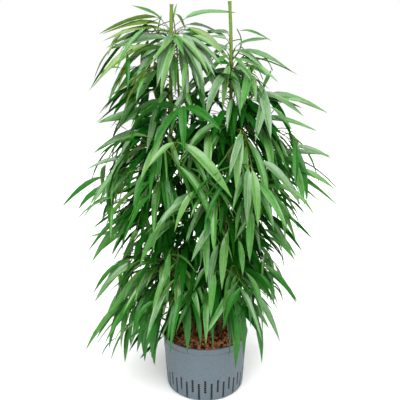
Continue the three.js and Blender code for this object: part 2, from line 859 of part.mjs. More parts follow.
// The main twig goes on from its bough, or for a top mass from its stem, and bends over
function makeMainTwig(mass) {
  if (mass.stem) {
    const end = twigEnd(mass);
    if (mass.height === null) {
      const top = mass.stem.centres.at(-1);
      const start = top.clone().addScaledVector(UP, GAP);
      const above = start.clone().addScaledVector(UP, (end.z - start.z) / 2);
      return bentLimb(start, above, end, { ...mainTwig, reference: ACROSS });
    }
    const start = mass.stem.at(mass.height);
    const control = start.clone().lerp(end, 0.5)
      .addScaledVector(heading(mass.space.aim, 0), topTier.bulge);
    return bentLimb(start, control, end, mainTwig);
  }
  const forward = mass.bough.tangents.at(-1);
  const start = mass.bough.centres.at(-1).clone().addScaledVector(forward, GAP);
  const control = start.clone()
    .addScaledVector(forward, start.distanceTo(mass.bough.end) * mainTwig.bend);
  return bentLimb(start, control, mass.bough.end, mainTwig);
}

const clearances = new Map(stems.map((stem) => [stem, toSolid(limbGeometry(stem, GAP))]));
const boughs = [];
for (const mass of masses) {
  if (!mass.stem) {
    mass.bough = makeBough(mass);
    mass.bough.name = `bough_${mass.name}`;
    boughs.push(mass.bough);
  }
}

addPiece('pot', potGeometry(), finishes.pot);
addPiece('clay_fill', fillGeometry(feet), finishes.clay);
for (const stem of stems) {
  addPiece(stem.name, limbGeometry(stem), finishes.cane);
}
for (const line of boughs) {
  const solid = toSolid(limbGeometry(line)).subtract(clearances.get(line.stem));
  addPiece(line.name, toGeometry(solid), finishes.bark);
}
const limbs = [...stems, ...boughs];
masses.forEach((mass, number) => {
  mass.limbs = limbs;
  let solid = growMass(mass, number, makeMainTwig(mass));
  if (mass.stem) {
    solid = solid.subtract(clearances.get(mass.stem));
  }
  addPiece(`foliage_${mass.name}`, toGeometry(solid), finishes.leaf);
});

export default plant;
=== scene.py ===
# A potted alii ficus: canes, twigs and hanging leaves over a slotted grow pot of clay granules.
# The growing rule works in millimetres, as the solids do, and every mesh is in metres.
import math

import bpy
import numpy as np
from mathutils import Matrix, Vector, noise


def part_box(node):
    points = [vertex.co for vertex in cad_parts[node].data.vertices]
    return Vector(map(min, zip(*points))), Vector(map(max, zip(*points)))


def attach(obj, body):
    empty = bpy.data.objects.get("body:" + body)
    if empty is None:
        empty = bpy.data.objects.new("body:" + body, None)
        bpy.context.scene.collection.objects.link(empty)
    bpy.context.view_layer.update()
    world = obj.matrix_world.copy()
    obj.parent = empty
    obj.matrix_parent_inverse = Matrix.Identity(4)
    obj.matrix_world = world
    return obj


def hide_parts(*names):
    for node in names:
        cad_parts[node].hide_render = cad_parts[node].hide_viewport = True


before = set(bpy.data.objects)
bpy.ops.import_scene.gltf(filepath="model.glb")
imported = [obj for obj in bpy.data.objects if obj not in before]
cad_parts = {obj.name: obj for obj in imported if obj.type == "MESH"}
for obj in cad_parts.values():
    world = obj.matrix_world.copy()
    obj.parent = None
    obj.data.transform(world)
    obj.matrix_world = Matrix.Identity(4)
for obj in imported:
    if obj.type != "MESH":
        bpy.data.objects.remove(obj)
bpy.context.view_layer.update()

scene = bpy.context.scene
mm = 0.001
degree = math.pi / 180
fullTurn = 2 * math.pi
goldenAngle = 137.5 * degree
sharpAngle = 40 * degree     # an edge that turns by more shades sharp
wordMask = 0xFFFFFFFF        # 32 bits
up = Vector((0, 0, 1))
across = Vector((1, 0, 0))


def mix(a, b, share):
    return a + (b - a) * share


# An even number from 0 to 1 that depends only on the whole numbers given
def draw(*keys):
    value = 0x9E3779B9
    for key in keys:
        value = ((value ^ ((key + 0x7F4A7C15) & wordMask)) * 0x85EBCA6B) & wordMask
        value ^= value >> 13
        value = (value * 0xC2B2AE35) & wordMask
        value ^= value >> 16
    return value / 2**32


def drawFrom(limits, *keys):
    return mix(limits[0], limits[1], draw(*keys))


def heading(azimuth, elevation):
    level = math.cos(elevation)
    return Vector((level * math.cos(azimuth), level * math.sin(azimuth), math.sin(elevation)))


def polar(radius, azimuth, z):
    return Vector((radius * math.cos(azimuth), radius * math.sin(azimuth), z))


def ringOf(radius, z, sides):
    return [polar(radius, fullTurn * j / sides, z) for j in range(sides)]


# Node trees: a key of inputs is a socket's name or number, and its value a constant, a socket, or
# a node that stands for its first output
def addNode(tree, kind, inputs=None, **settings):
    node = tree.nodes.new(kind)
    for name, value in settings.items():
        setattr(node, name, value)
    for key, value in (inputs or {}).items():
        if isinstance(value, bpy.types.Node):
            value = value.outputs[0]
        if isinstance(value, bpy.types.NodeSocket):
            tree.links.new(value, node.inputs[key])
        else:
            node.inputs[key].default_value = value
    return node


# Materials

def linear(hexColour):
    parts = [int(hexColour[i:i + 2], 16) / 255 for i in (1, 3, 5)]
    return [c / 12.92 if c <= 0.04045 else ((c + 0.055) / 1.055) ** 2.4 for c in parts] + [1]


mottle = {"from": 0.32, "to": 0.68, "detail": 3}     # the part of the noise that spans the colours


# A surface mottled between two colours. grain is the pattern's size and relief its depth, in
# millimetres, and stretch lengthens it along X, Y and Z.
def makeMaterial(name, colours, grain, roughness, relief=0.0, ior=1.45, stretch=(1, 1, 1)):
    material = bpy.data.materials.new(name)
    material.use_nodes = True
    tree = material.node_tree
    shader = tree.nodes["Principled BSDF"]
    shader.inputs["Roughness"].default_value = roughness
    shader.inputs["IOR"].default_value = ior
    place = addNode(tree, "ShaderNodeTexCoord").outputs["Object"]
    scaled = addNode(tree, "ShaderNodeMapping",
                     {"Vector": place, "Scale": [1 / (grain * mm * s) for s in stretch]})
    pattern = addNode(tree, "ShaderNodeTexNoise",
                      {"Vector": scaled, "Scale": 1, "Detail": mottle["detail"]})
    wide = addNode(tree, "ShaderNodeMapRange",
                   {"Value": pattern, "From Min": mottle["from"], "From Max": mottle["to"]})
    colour = addNode(tree, "ShaderNodeMix",
                     {0: wide, 6: linear(colours[0]), 7: linear(colours[1])},
                     data_type="RGBA")
    tree.links.new(colour.outputs[2], shader.inputs["Base Color"])
    if relief:
        bump = addNode(tree, "ShaderNodeBump", {"Distance": relief * mm, "Height": pattern})
        tree.links.new(bump.outputs[0], shader.inputs["Normal"])
    return material


# Polypropylene, injection moulded from regrind: blue-grey and dull. Its specks of about 1 mm are
# drawn at 3 mm, so that they show.
potPlastic = makeMaterial("mouldedPolypropylene", ("#4b5961", "#616e78"), 3, 0.5, 0.15, 1.49)
# Expanded clay, fired in a kiln: a dull red-brown skin with pores, from dark to pale
clayDark = makeMaterial("firedClayDark", ("#4a2717", "#6a3b22"), 4, 0.95, 0.6, 1.3)
clayRed = makeMaterial("firedClayRed", ("#824527", "#aa6843"), 4, 0.95, 0.6, 1.3)
clayPale = makeMaterial("firedClayPale", ("#a86b45", "#cc9570"), 4, 0.95, 0.6, 1.3)
# The imported bed behind the slots: painted shade, black in the gaps, with here and there a
# granule's rust-brown face
shadedClayBed = makeMaterial("packedClayPaintedShade", ("#010100", "#3a1a0a"), 6, 0.95, 0.6, 1.05)
# Young fig bark: smooth and thin, olive over green, with fine grooves along the twig
twigBark = makeMaterial("youngFigBark", ("#445a1c", "#617431"), 3, 0.7, 0.3, 1.2, (1, 1, 3))
branchBark = makeMaterial("branchFigBark", ("#3d4420", "#5b5f33"), 4, 0.7, 0.5, 1.3, (1, 1, 3))
cutWood = makeMaterial("cutFigWood", ("#8c8a52", "#6b6a38"), 2, 0.8, 0.2)
# Waxy evergreen leaves: under a clear wax coat the blade is dark and full in colour, and a wide
# soft lamp lays a pale sheen on the coat. The underside has no wax and looks paler and dull.
# Each tint is blade, midrib and underside, and the coat's weight.
leafTints = {
    "mature": (("#33701f", "#42822f"), ("#528436", "#649648"), ("#55833c", "#69984e"), 0.65),
    "fresh": (("#447a2e", "#55893d"), ("#648f3e", "#749f4e"), ("#5c8942", "#709c56"), 0.75),
    # bluishSheen: a greyer green, partly the leaves' own bluish tone and partly painted sheen
    "bluishSheen": (("#446f3c", "#557f4d"), ("#668c50", "#789f62"), ("#5f884c", "#739c60"), 0.85),
    "deep": (("#185a0e", "#236a19"), ("#2a6a1c", "#387a2a"), ("#27661c", "#357629"), 0.3),
    # shade is painted shade: the dark green of sprays inside the crown, near the stems
    "shade": (("#0b4405", "#12540a"), ("#124e08", "#1c5c11"), ("#0f4a07", "#17580d"), 0.0),
    "lime": (("#547a1c", "#668a28"), ("#708a2c", "#80983a"), ("#6e9038", "#7e9e46"), 0.7),
}


# A leaf's three surfaces: grain, from a midrib's mottling to half a blade's width, in millimetres,
# then roughness and relief
leafSkin = {"Blade": (14, 0.6, 0.25), "Midrib": (6, 0.6, 0.0), "Underside": (9, 0.7, 0.2)}
leafIor = 1.15
leafWax = {"Coat Roughness": 0.36, "Coat IOR": 1.8}


def leafMaterials(tint):
    *colours, wax = leafTints[tint]
    materials = [makeMaterial(f"{tint}Leaf{part}", pair, *skin, leafIor)
                 for pair, (part, skin) in zip(colours, leafSkin.items())]
    blade = materials[0].node_tree.nodes["Principled BSDF"]
    for socket, value in {"Coat Weight": wax, **leafWax}.items():
        blade.inputs[socket].default_value = value
    return materials


# Meshes and pieces

def addObject(name, data):
    made = bpy.data.objects.new(name, data)
    scene.collection.objects.link(made)
    return made


def addPiece(name, mesh, nodes=()):
    piece = addObject(name, mesh)
    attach(piece, "root")
    if nodes:
        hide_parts(*nodes)


# A mesh from points in millimetres
def makeMesh(name, points, faces, materials):
    mesh = bpy.data.meshes.new(name)
    mesh.from_pydata([tuple(point * mm) for point in points], [], faces)
    for material in materials:
        mesh.materials.append(material)
    mesh.shade_smooth()
    mesh.set_sharp_from_angle(angle=sharpAngle)
    return mesh


def makeDisc(name, radius, z, sides, material):
    return makeMesh(name, ringOf(radius, z, sides), [tuple(range(sides))], (material,))


# Faces of a tube of rings, with a cap at each end
def tubeFaces(first, count, sides):
    faces = []
    for i in range(count - 1):
        here = first + i * sides
        for j in range(sides):
            k = (j + 1) % sides
            faces.append((here + j, here + k, here + sides + k, here + sides + j))
    faces.append(tuple(first + j for j in reversed(range(sides))))
    faces.append(tuple(first + (count - 1) * sides + j for j in range(sides)))
    return faces


# A geometry node tree with its named inputs, and the sockets that bring them in
def newTree(name, inputs):
    tree = bpy.data.node_groups.new(name, "GeometryNodeTree")
    tree.interface.new_socket("Geometry", in_out="OUTPUT", socket_type="NodeSocketGeometry")
    for label, kind in {"Geometry": "Geometry", **inputs}.items():
        tree.interface.new_socket(label, in_out="INPUT", socket_type="NodeSocket" + kind)
    return tree, tree.nodes.new("NodeGroupInput").outputs


def endTree(tree, geometry, material):
    real = addNode(tree, "GeometryNodeRealizeInstances", {"Geometry": geometry})
    painted = addNode(tree, "GeometryNodeSetMaterial", {"Geometry": real, "Material": material})
    addNode(tree, "NodeGroupOutput", {"Geometry": painted})


# The plain mesh that a tree makes of a mesh
def grow(mesh, tree, values):
    carrier = addObject("carrier", mesh)
    modifier = carrier.modifiers.new("grow", "NODES")
    modifier.node_group = tree
    for item in tree.interface.items_tree:
        if item.in_out == "INPUT" and item.name in values:
            modifier[item.identifier] = values[item.name]
    evaluated = carrier.evaluated_get(bpy.context.evaluated_depsgraph_get())
    made = bpy.data.meshes.new_from_object(evaluated)
    bpy.data.objects.remove(carrier)
    return made


# The crown: its limbs and its reach are those of the solids, and its leaves are finer and more

stems = [
    {"name": "stem_left", "footRadius": 7.6, "topRadius": 4.9, "headSwell": 0.8,
     "axis": [(-101, 8, 178.3), (-105, 4, 560), (-103, 0, 906), (-97, 0, 1200)]},
    {"name": "stem_right", "footRadius": 7.2, "topRadius": 4.5, "headSwell": 1.2,
     "axis": [(48, 2, 178.3), (61, -4, 560), (74, 0, 909), (67, 0, 1208)]},
    {"name": "stem_back", "footRadius": 5.8, "topRadius": 3, "headSwell": 0,
     "axis": [(-24, 48, 178.3), (-60, 44, 600), (-78, 38, 900), (-83, 36, 1030)]},
]
fillTop = 178
gap = 0.3
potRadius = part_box("pot")[1].x / mm
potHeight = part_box("pot")[1].z / mm

# How far leaf tips reach from the pot's axis, and round the top of each cane from the cane,
# as rising (height, reach)
outline = {
    "left": [(45, 340), (99, 401), (200, 358), (312, 363), (390, 342), (490, 370), (602, 447),
             (640, 428), (785, 338), (1000, 340)],
    "right": [(45, 195), (190, 230), (281, 301), (480, 295), (600, 408), (656, 414), (762, 386),
              (890, 363), (1000, 340)],
    "leftTop": [(800, 258), (965, 238), (1120, 202), (1215, 100)],
    "rightTop": [(800, 310), (890, 296), (1005, 195), (1103, 130), (1215, 70)],
}
outline = {side: np.array(profile, float).T for side, profile in outline.items()}
# lowest is how far down leaf tips hang, at the left, at the right, and at the front and the back.
# waist is the share of the reach that leaves keep on the right, by height.
crown = {"frontShare": 0.96, "leafFront": 0.93, "lowest": (92, 150, 290), "limbMargin": 5,
         "potMargin": 4, "samples": 7,
         "waist": ((60, 300, 420, 600, 660, 720, 830, 900, 960, 1020, 1110),
                   (0.78, 0.84, 0.95, 1, 0.92, 0.93, 0.74, 0.57, 0.54, 0.68, 1))}
shelves = [(130, 0.7, 0), (410, 0.6, 45), (620, 0.6, 45), (850, 0.6, 40), (1000, 0.65, 0),
           (1600, 0, 0)]
shelfWaves = 3
tiers = [
    {"name": "bottom", "sectors": 5, "turn": 0, "tipHeight": (101, 185), "drop": 52, "hang": 78},
    {"name": "lower", "sectors": 6, "turn": 0, "tipHeight": (312, 285), "drop": 44, "hang": 76},
    {"name": "middle", "sectors": 5, "turn": 18, "tipHeight": (495, 490), "drop": 40, "hang": 72},
    {"name": "upper", "sectors": 6, "turn": 0, "tipHeight": (603, 654), "drop": 34, "hang": 70},
]
bottomRise = 160     # of the bottom tier's tips at the front and the back
topTier = {"drop": 14, "hang": 60, "wallHeight": 1100, "bulge": 40,
           "forks": [(70, 975), (115, 1050)]}
topMasses = [
    {"name": "top_left", "stem": 0, "aim": 192, "root": 1040, "tip": 1119, "leads": "lime"},
    {"name": "top_left_rear", "stem": 0, "aim": 160, "root": 1060, "tip": 1080},
    {"name": "top_front", "stem": 0, "aim": 282, "root": 1010, "tip": 1062},
    {"name": "top_right", "stem": 1, "aim": 348, "root": 1020, "tip": 1008},
    {"name": "top_right_rear", "stem": 1, "aim": 22, "root": 1045, "tip": 1100},
    {"name": "top_rear", "stem": 2, "aim": 78, "root": None, "tip": 1135},
]
# Leaves that stand out: where each leaves its mass's main twig, and its tip
standingLeaves = {
    "top_left": [(1, (-332, -44, 964))],
    "top_rear": [(0.9, (-83, 52, 1206))],
}
bough = {"share": 0.33, "rise": 0.85, "lowest": 18, "midway": 0.5, "bendPlace": 0.45,
         "bendHeight": 0.62, "radii": (3.6, 2.6), "steps": 12}
# Twigs by order, main, fork, side and shoot: radii at root and tip, and steps
twigSizes = [((2.5, 1.5), 8), ((2.0, 1.3), 7), ((1.6, 1.1), 6), ((1.2, 0.8), 4)]
finest = len(twigSizes) - 1
growth = {
    "mainBend": 0.4,
    "forks": [(0.12, -0.1), (0.3, 0.42)],
    "forkBulge": 0.12,
    "underShelf": 20,
    "sideCounts": (3, 2),         # side twigs on a main twig and a fork
    "sidePlaces": (0.2, 0.88),
    "sideLength": 125,
    "tries": 9,
    "tryAside": 0.1,
    "tryLower": 8,
}
sideRule = {"turn": (30, 75), "length": (0.65, 1.15), "shortening": 0.25, "rise": (-15, 72),
            "levelling": 0.4, "bend": 55}
leafRule = {
    "spacing": (50, 45, 42, 31),  # along a twig of each order
    "topSpacing": 3.2,            # times as far apart in the top masses
    "reach": (0.7, 1.0),          # of the crown's outline
    "places": (0.2, 0.96),
    "length": (165, 225),
    "widthShare": (0.1, 0.13),
    "along": 0.55,
    "aside": 0.85,
    "swing": (0.45, 0.75),
    "rise": 45,
    "steepest": 0.8,
    "hang": (0.45, 1.1),
    "shortening": 0.06,
    "shorter": 0.93,              # each next try of an arched leaf
    "roll": (-38, 38),
    "twist": (-30, 30),
    "sweep": (-16, 16),
    "archStart": 26,              # of a leaf with a set tip, over and under the straight line
    "archEnd": -12,
    "archPull": (0.3, 0.42),
    "leading": 178,
    "stemRoom": 22,
}
# What a draw is for, so that draws with the same keys stay apart
use = {"swing": 1, "hang": 2, "length": 3, "roll": 4, "place": 5, "turn": 6, "rise": 7, "end": 8,
       "twist": 9, "sweep": 10, "tint": 11, "wave": 12, "reach": 13, "width": 14}

for stem in stems:
    x, y, z = np.array(stem["axis"], float).T
    stem["x"] = np.polyfit(z, x, 3)
    stem["y"] = np.polyfit(z, y, 3)
    stem["top"] = stem["axis"][-1][2]


def onStem(stem, z):
    (a, b, c, d), (e, f, g, h) = stem["x"], stem["y"]
    return Vector((((a * z + b) * z + c) * z + d, ((e * z + f) * z + g) * z + h, z))


def reachAround(profiles, azimuth, z):
    left, right = [float(np.interp(z, *outline[side])) for side in profiles]
    side = math.cos(azimuth)
    return mix(crown["frontShare"] * (left + right) / 2, left if side < 0 else right, side**2)


# Leaves reach less far at the front and the back, and at the waist under the right cane's head
def leafReach(space, azimuth, z):
    side = math.cos(azimuth)
    waist = mix(1, float(np.interp(z, *crown["waist"])), max(0, side))
    full = reachAround(space["profiles"], azimuth, z)
    return full * waist * mix(crown["leafFront"], 1, side**2)


def shelfHeight(shelf, point):
    wave = math.cos(shelfWaves * math.atan2(point.y, point.x))
    return shelf[0] - shelf[1] * math.hypot(point.x, point.y) + shelf[2] * wave


def lowestAt(azimuth):
    left, right, front = crown["lowest"]
    return mix(mix(left, right, (1 + math.cos(azimuth)) / 2), front, math.sin(azimuth) ** 2)


# Within the crown's reach, not too low, off the pot and off the stems
def isFree(mass, point, share=1):
    x, y = point.x - mass["apex"].x, point.y - mass["apex"].y
    azimuth = math.atan2(y, x)
    tooFar = math.hypot(x, y) > share * leafReach(mass, azimuth, point.z)
    if tooFar or point.z < lowestAt(azimuth):
        return False
    overPot = math.hypot(point.x, point.y) < potRadius + crown["potMargin"]
    if overPot and point.z < potHeight + crown["potMargin"]:
        return False
    for stem in stems:
        clearance = (onStem(stem, point.z) - point).length
        if point.z < stem["top"] + crown["limbMargin"] and clearance < stem["footRadius"]:
            return False
    return True


def bend(start, control, end, steps):
    shares = [i / steps for i in range(steps + 1)]
    return [start * (1 - t) ** 2 + control * (2 * t * (1 - t)) + end * t**2 for t in shares]


# The space that leaves fill round the top of a cane. The back stem shares the left cane's.
def topSpace(number):
    cane = 1 if number == 1 else 0
    apex = onStem(stems[cane], topTier["wallHeight"])
    apex.z = 0
    return {"apex": apex, "profiles": (("leftTop", "rightTop")[cane],) * 2}


def makeTwig(order, start, control, end):
    (thick, thin), steps = twigSizes[order]
    radii = [mix(thick, thin, i / steps) for i in range(steps + 1)]
    return {"order": order, "points": bend(start, control, end, steps), "radii": radii}


# A twig that sets out at one slope and droops by so many degrees halfway
def droopingTwig(order, root, azimuth, rise, droop, half):
    control = root + heading(azimuth, rise * degree) * half
    end = control + heading(azimuth, (rise - droop) * degree) * half
    return makeTwig(order, root, control, end)


def pointOn(twig, share):
    points = twig["points"]
    place = share * (len(points) - 1)
    i = min(int(place), len(points) - 2)
    return points[i].lerp(points[i + 1], place - i), (points[i + 1] - points[i]).normalized()


def lengthOf(twig):
    points = twig["points"]
    return sum((b - a).length for a, b in zip(points, points[1:]))


def furthestPoint(mass):
    radius = reachAround(mass["profiles"], mass["aim"], mass["tipHeight"])
    return polar(radius, mass["aim"], mass["tipHeight"]) + mass["apex"]


# A leaf's length inside the crown's furthest point
def twigEnd(mass):
    radius = reachAround(mass["profiles"], mass["aim"], mass["tipHeight"])
    room = (radius - leafRule["stemRoom"]) / math.cos(mass["drop"])
    length = min(leafRule["leading"], room)
    return furthestPoint(mass) - heading(mass["aim"], -mass["drop"]) * length


def makeBough(mass):
    end = twigEnd(mass)
    lowest = fillTop + bough["lowest"]
    stem = min(stems, key=lambda s: (onStem(s, max(end.z, lowest)) - end).xy.length)
    axis = onStem(stem, max(end.z, lowest))
    tip = axis.lerp(end, bough["share"])
    low, high = mass["shelves"]
    fromShelf = end.z - shelfHeight(low, end)
    middle = (shelfHeight(high, tip) - shelfHeight(low, tip)) / 2
    tip.z = shelfHeight(low, tip) + mix(fromShelf, middle, bough["midway"])
    run = (axis - end).xy.length * bough["share"]
    root = onStem(stem, max(tip.z - bough["rise"] * run, lowest))
    control = root.lerp(tip, bough["bendPlace"])
    control.z = mix(root.z, tip.z, bough["bendHeight"])
    return {"points": bend(root, control, tip, bough["steps"]), "end": end}


def makeMainTwig(mass):
    if "bough" in mass:
        points, end = mass["bough"]["points"], mass["bough"]["end"]
        forward = (points[-1] - points[-2]).normalized()
        start = points[-1] + forward * gap
        control = start + forward * ((end - start).length * growth["mainBend"])
        return makeTwig(0, start, control, end)
    end = twigEnd(mass)
    if mass["root"] is None:
        start = onStem(mass["stem"], mass["stem"]["top"]) + up * gap
        return makeTwig(0, start, start + up * ((end.z - start.z) / 2), end)
    start = onStem(mass["stem"], mass["root"])
    control = start.lerp(end, 0.5) + heading(mass["aim"], 0) * topTier["bulge"]
    return makeTwig(0, start, control, end)


# A twig's first samples lie at the limb that carries it, and aren't tested
def twigFits(mass, twig):
    samples = crown["samples"]
    return all(isFree(mass, pointOn(twig, i / samples)[0]) for i in range(2, samples + 1))


# Where a fork ends: close under the shelf above, or out from the cane at the top
def forkEnd(mass, root, number, attempt):
    aim = mass["aim"] + (1 if attempt % 2 else -1) * growth["tryAside"] * attempt
    if "bough" not in mass:
        radius, height = topTier["forks"][number]
        return polar(radius, aim, height - growth["tryLower"] * attempt) + mass["apex"]
    reach = reachAround(mass["profiles"], mass["aim"], root.z)
    radius = mix(math.hypot(root.x, root.y), reach, growth["forks"][number][1])
    end = polar(radius, aim, 0)
    shelf = shelfHeight(mass["shelves"][1], end)
    end.z = shelf - growth["underShelf"] - growth["tryLower"] * attempt
    return end


def addFork(mass, main, number):
    root, forward = pointOn(main, growth["forks"][number][0])
    for attempt in range(growth["tries"]):
        end = forkEnd(mass, root, number, attempt)
        control = root.lerp(end, 0.5) + (forward + up) * (growth["forkBulge"] * (end - root).length)
        twig = makeTwig(1, root, control, end)
        if twigFits(mass, twig):
            mass["twigs"].append(twig)
            return


def branchOff(parent, share, side, keys):
    root, forward = pointOn(parent, share)
    turn = side * drawFrom(sideRule["turn"], *keys, use["turn"]) * degree
    azimuth = math.atan2(forward.y, forward.x) + turn
    half = growth["sideLength"] / 2 * drawFrom(sideRule["length"], *keys, use["length"])
    half *= 1 - sideRule["shortening"] * share
    rise = drawFrom(sideRule["rise"], *keys, use["rise"]) * (1 - sideRule["levelling"] * share)
    return droopingTwig(2, root, azimuth, rise, sideRule["bend"], half)


def addSideTwigs(mass, parent, keys):
    count = growth["sideCounts"][parent["order"]]
    for number in range(count):
        spread = (number + draw(*keys, number, use["place"])) / count
        share = mix(*growth["sidePlaces"], spread)
        for attempt in range(growth["tries"]):
            side = 1 if (number + attempt) % 2 else -1
            twig = branchOff(parent, share, side, (*keys, number, attempt))
            if twigFits(mass, twig):
                mass["twigs"].append(twig)
                break


# Leaves: each is the line of its midrib, with the level direction across it at each station

leafShape = {
    "stations": (0, 0.065, 0.13, 0.26, 0.42, 0.58, 0.74, 0.88, 1),
    "widths": (0.09, 0.08, 0.44, 0.88, 1, 0.93, 0.71, 0.37, 0.03),
    "fold": 0.32,        # of the halves, upwards, for each millimetre across
    "bow": 0.06,         # of each half's middle over that fold
    "bowPlace": 0.55,
    "ribHalf": 0.9,
    "ribMost": 0.6,      # of the half, near the tip
    "keel": 1.0,         # depth of the midrib under the blade
    "wave": 0.12,        # swing of the edges, up and down
    "waves": 1.4,
}
stations = np.array(leafShape["stations"])
bendEase = 1.5           # puts most of the bend near the root, where the stalk gives


# A leaf that leaves its root at one slope and ends at another
def archedLeaf(root, azimuth, sweep, rise, hang, length, keys):
    middles = (stations[1:] + stations[:-1]) / 2
    slopes = mix(rise, hang, 1 - (1 - middles) ** bendEase) * degree
    turns = azimuth + sweep * middles * degree
    steps = np.diff(stations)[:, None] * length
    ways = np.stack([np.cos(slopes) * np.cos(turns), np.cos(slopes) * np.sin(turns),
                     np.sin(slopes)], axis=1)
    centres = np.vstack([root, np.array(root) + np.cumsum(ways * steps, axis=0)])
    return {"centres": centres, "azimuth": azimuth, "sweep": sweep, "length": length, "keys": keys}


def leafFrom(mass, root, forward, spin, keys, attempt):
    v = (up - forward * up.dot(forward)).normalized()
    u = v.cross(forward)
    start = forward * leafRule["along"]
    start += (u * math.cos(spin) + v * math.sin(spin)) * leafRule["aside"]
    outward = math.atan2(root.y - mass["apex"].y, root.x - mass["apex"].x)
    swing = math.remainder(math.atan2(start.y, start.x) - outward, fullTurn)
    azimuth = outward + swing * drawFrom(leafRule["swing"], *keys, use["swing"])
    steepest = leafRule["steepest"]
    rise = max(-steepest, min(steepest, start.z)) * leafRule["rise"]
    hang = -mass["hang"] * drawFrom(leafRule["hang"], *keys, use["hang"])
    length = drawFrom(leafRule["length"], *keys, use["length"])
    length *= 1 - leafRule["shortening"] * attempt
    sweep = drawFrom(leafRule["sweep"], *keys, use["sweep"])
    return archedLeaf(root, azimuth, sweep, rise, hang, length, keys)


# A leaf whose tip is set: it leaves above the straight line and comes in below it
def leafTo(root, tip, keys):
    length = (tip - root).length
    azimuth = math.atan2(tip.y - root.y, tip.x - root.x)
    slope = math.asin((tip.z - root.z) / length)
    leaving = heading(azimuth, slope + leafRule["archStart"] * degree)
    arriving = heading(azimuth, slope + leafRule["archEnd"] * degree)
    first, last = leafRule["archPull"]
    controls = [root, root + leaving * (first * length), tip - arriving * (last * length), tip]
    t = stations[:, None]
    weights = [(1 - t) ** 3, 3 * t * (1 - t) ** 2, 3 * t**2 * (1 - t), t**3]
    centres = sum(weight * np.array(control) for weight, control in zip(weights, controls))
    return {"centres": centres, "azimuth": azimuth, "sweep": 0, "length": length, "keys": keys}


# A leaf's first two stations lie at its twig, and aren't tested
def leafFits(mass, leaf, share):
    return all(isFree(mass, Vector(centre), share) for centre in leaf["centres"][2:])


def addLeaf(mass, twig, share, spin, keys):
    root, forward = pointOn(twig, share)
    for attempt in range(growth["tries"]):
        turn = spin + attempt * goldenAngle
        leaf = leafFrom(mass, root, forward, turn, (*keys, attempt), attempt)
        if leafFits(mass, leaf, drawFrom(leafRule["reach"], *keys, use["reach"])):
            leaf["twig"] = twig
            mass["leaves"].append(leaf)
            return


# The first of ever shorter leaves in one direction that keeps within the crown
def addArch(mass, twig, place, azimuth, rise, hang, keys):
    root = pointOn(twig, place)[0]
    sweep = drawFrom(leafRule["sweep"], *keys, use["sweep"])
    length = drawFrom(leafRule["length"], *keys, use["length"])
    for attempt in range(growth["tries"]):
        leaf = archedLeaf(root, azimuth, sweep, rise, hang, length, keys)
        if leafFits(mass, leaf, drawFrom(leafRule["reach"], *keys, use["reach"])):
            mass["leaves"].append({**leaf, "twig": twig})
            return True
        length *= leafRule["shorter"]
    return False


def addLeavesAlong(mass, twig, keys):
    first, last = leafRule["places"]
    spacing = leafRule["spacing"][twig["order"]] * mass.get("sparse", 1)
    count = round(lengthOf(twig) * (last - first) / spacing)
    for i in range(count):
        spin = i * goldenAngle + draw(*keys, use["turn"]) * fullTurn
        addLeaf(mass, twig, mix(first, last, (i + 0.5) / count), spin, (*keys, i))


def growMass(mass, number):
    main = makeMainTwig(mass)
    mass["twigs"] = [main]
    mass["leaves"] = [leafTo(main["points"][-1], furthestPoint(mass), (number,))]
    for place, (share, tip) in enumerate(standingLeaves.get(mass["name"], [])):
        mass["leaves"].append(leafTo(pointOn(main, share)[0], Vector(tip), (number, place)))
    for leaf in mass["leaves"]:
        leaf["twig"] = main
    if mass.get("leads"):
        mass["leaves"][0]["tint"] = mass["leads"]
    for fork in range(len(growth["forks"])):
        addFork(mass, main, fork)
    for order in range(len(growth["sideCounts"])):
        parents = [twig for twig in mass["twigs"] if twig["order"] == order]
        for i, parent in enumerate(parents):
            addSideTwigs(mass, parent, (number, order, i))
    for i, twig in enumerate(mass["twigs"]):
        if i:
            spin = draw(number, i, use["end"]) * fullTurn
            addLeaf(mass, twig, 1, spin, (number, i, use["end"]))
        addLeavesAlong(mass, twig, (number, i))


def layOutMasses():
    laid = []
    for level, tier in enumerate(tiers):
        rise = 0 if level else bottomRise
        for i in range(tier["sectors"]):
            aim = math.pi * (1 + 2 * i / tier["sectors"]) + tier["turn"] * degree
            toRight = (1 + math.cos(aim)) / 2
            laid.append({
                "name": f"{tier['name']}_{i + 1}",
                "apex": Vector(),
                "profiles": ("left", "right"),
                "aim": aim,
                "tipHeight": mix(*tier["tipHeight"], toRight) + rise * math.sin(aim) ** 2,
                "drop": tier["drop"] * degree,
                "hang": tier["hang"],
                "shelves": (shelves[level], shelves[level + 1]),
            })
            laid[-1]["bough"] = makeBough(laid[-1])
    for top in topMasses:
        laid.append({
            **topSpace(top["stem"]),
            "name": top["name"],
            "aim": top["aim"] * degree,
            "tipHeight": top["tip"],
            "drop": topTier["drop"] * degree,
            "hang": topTier["hang"],
            "stem": stems[top["stem"]],
            "root": top["root"],
            "leads": top.get("leads"),
            "sparse": leafRule["topSpacing"],
        })
    return laid


# A mass that isn't in the solids
def startMass(name, **more):
    masses.append({"name": name, "twigs": [], "leaves": [], **more})
    return masses[-1]


# The canes' heads: short twigs all round, from which long leaves spring and arch outwards, almost
# level at the top and steeper further down
fountain = {"step": 17, "bare": 62, "lowest": 830, "twig": (24, 64), "deeper": 0.12, "fall": 24,
            "rise": (28, 0), "hang": (-22, -78), "swing": 12, "depth": 300,
            "tints": ("bluishSheen", "mature", "deep", "bluishSheen", "mature", "fresh")}


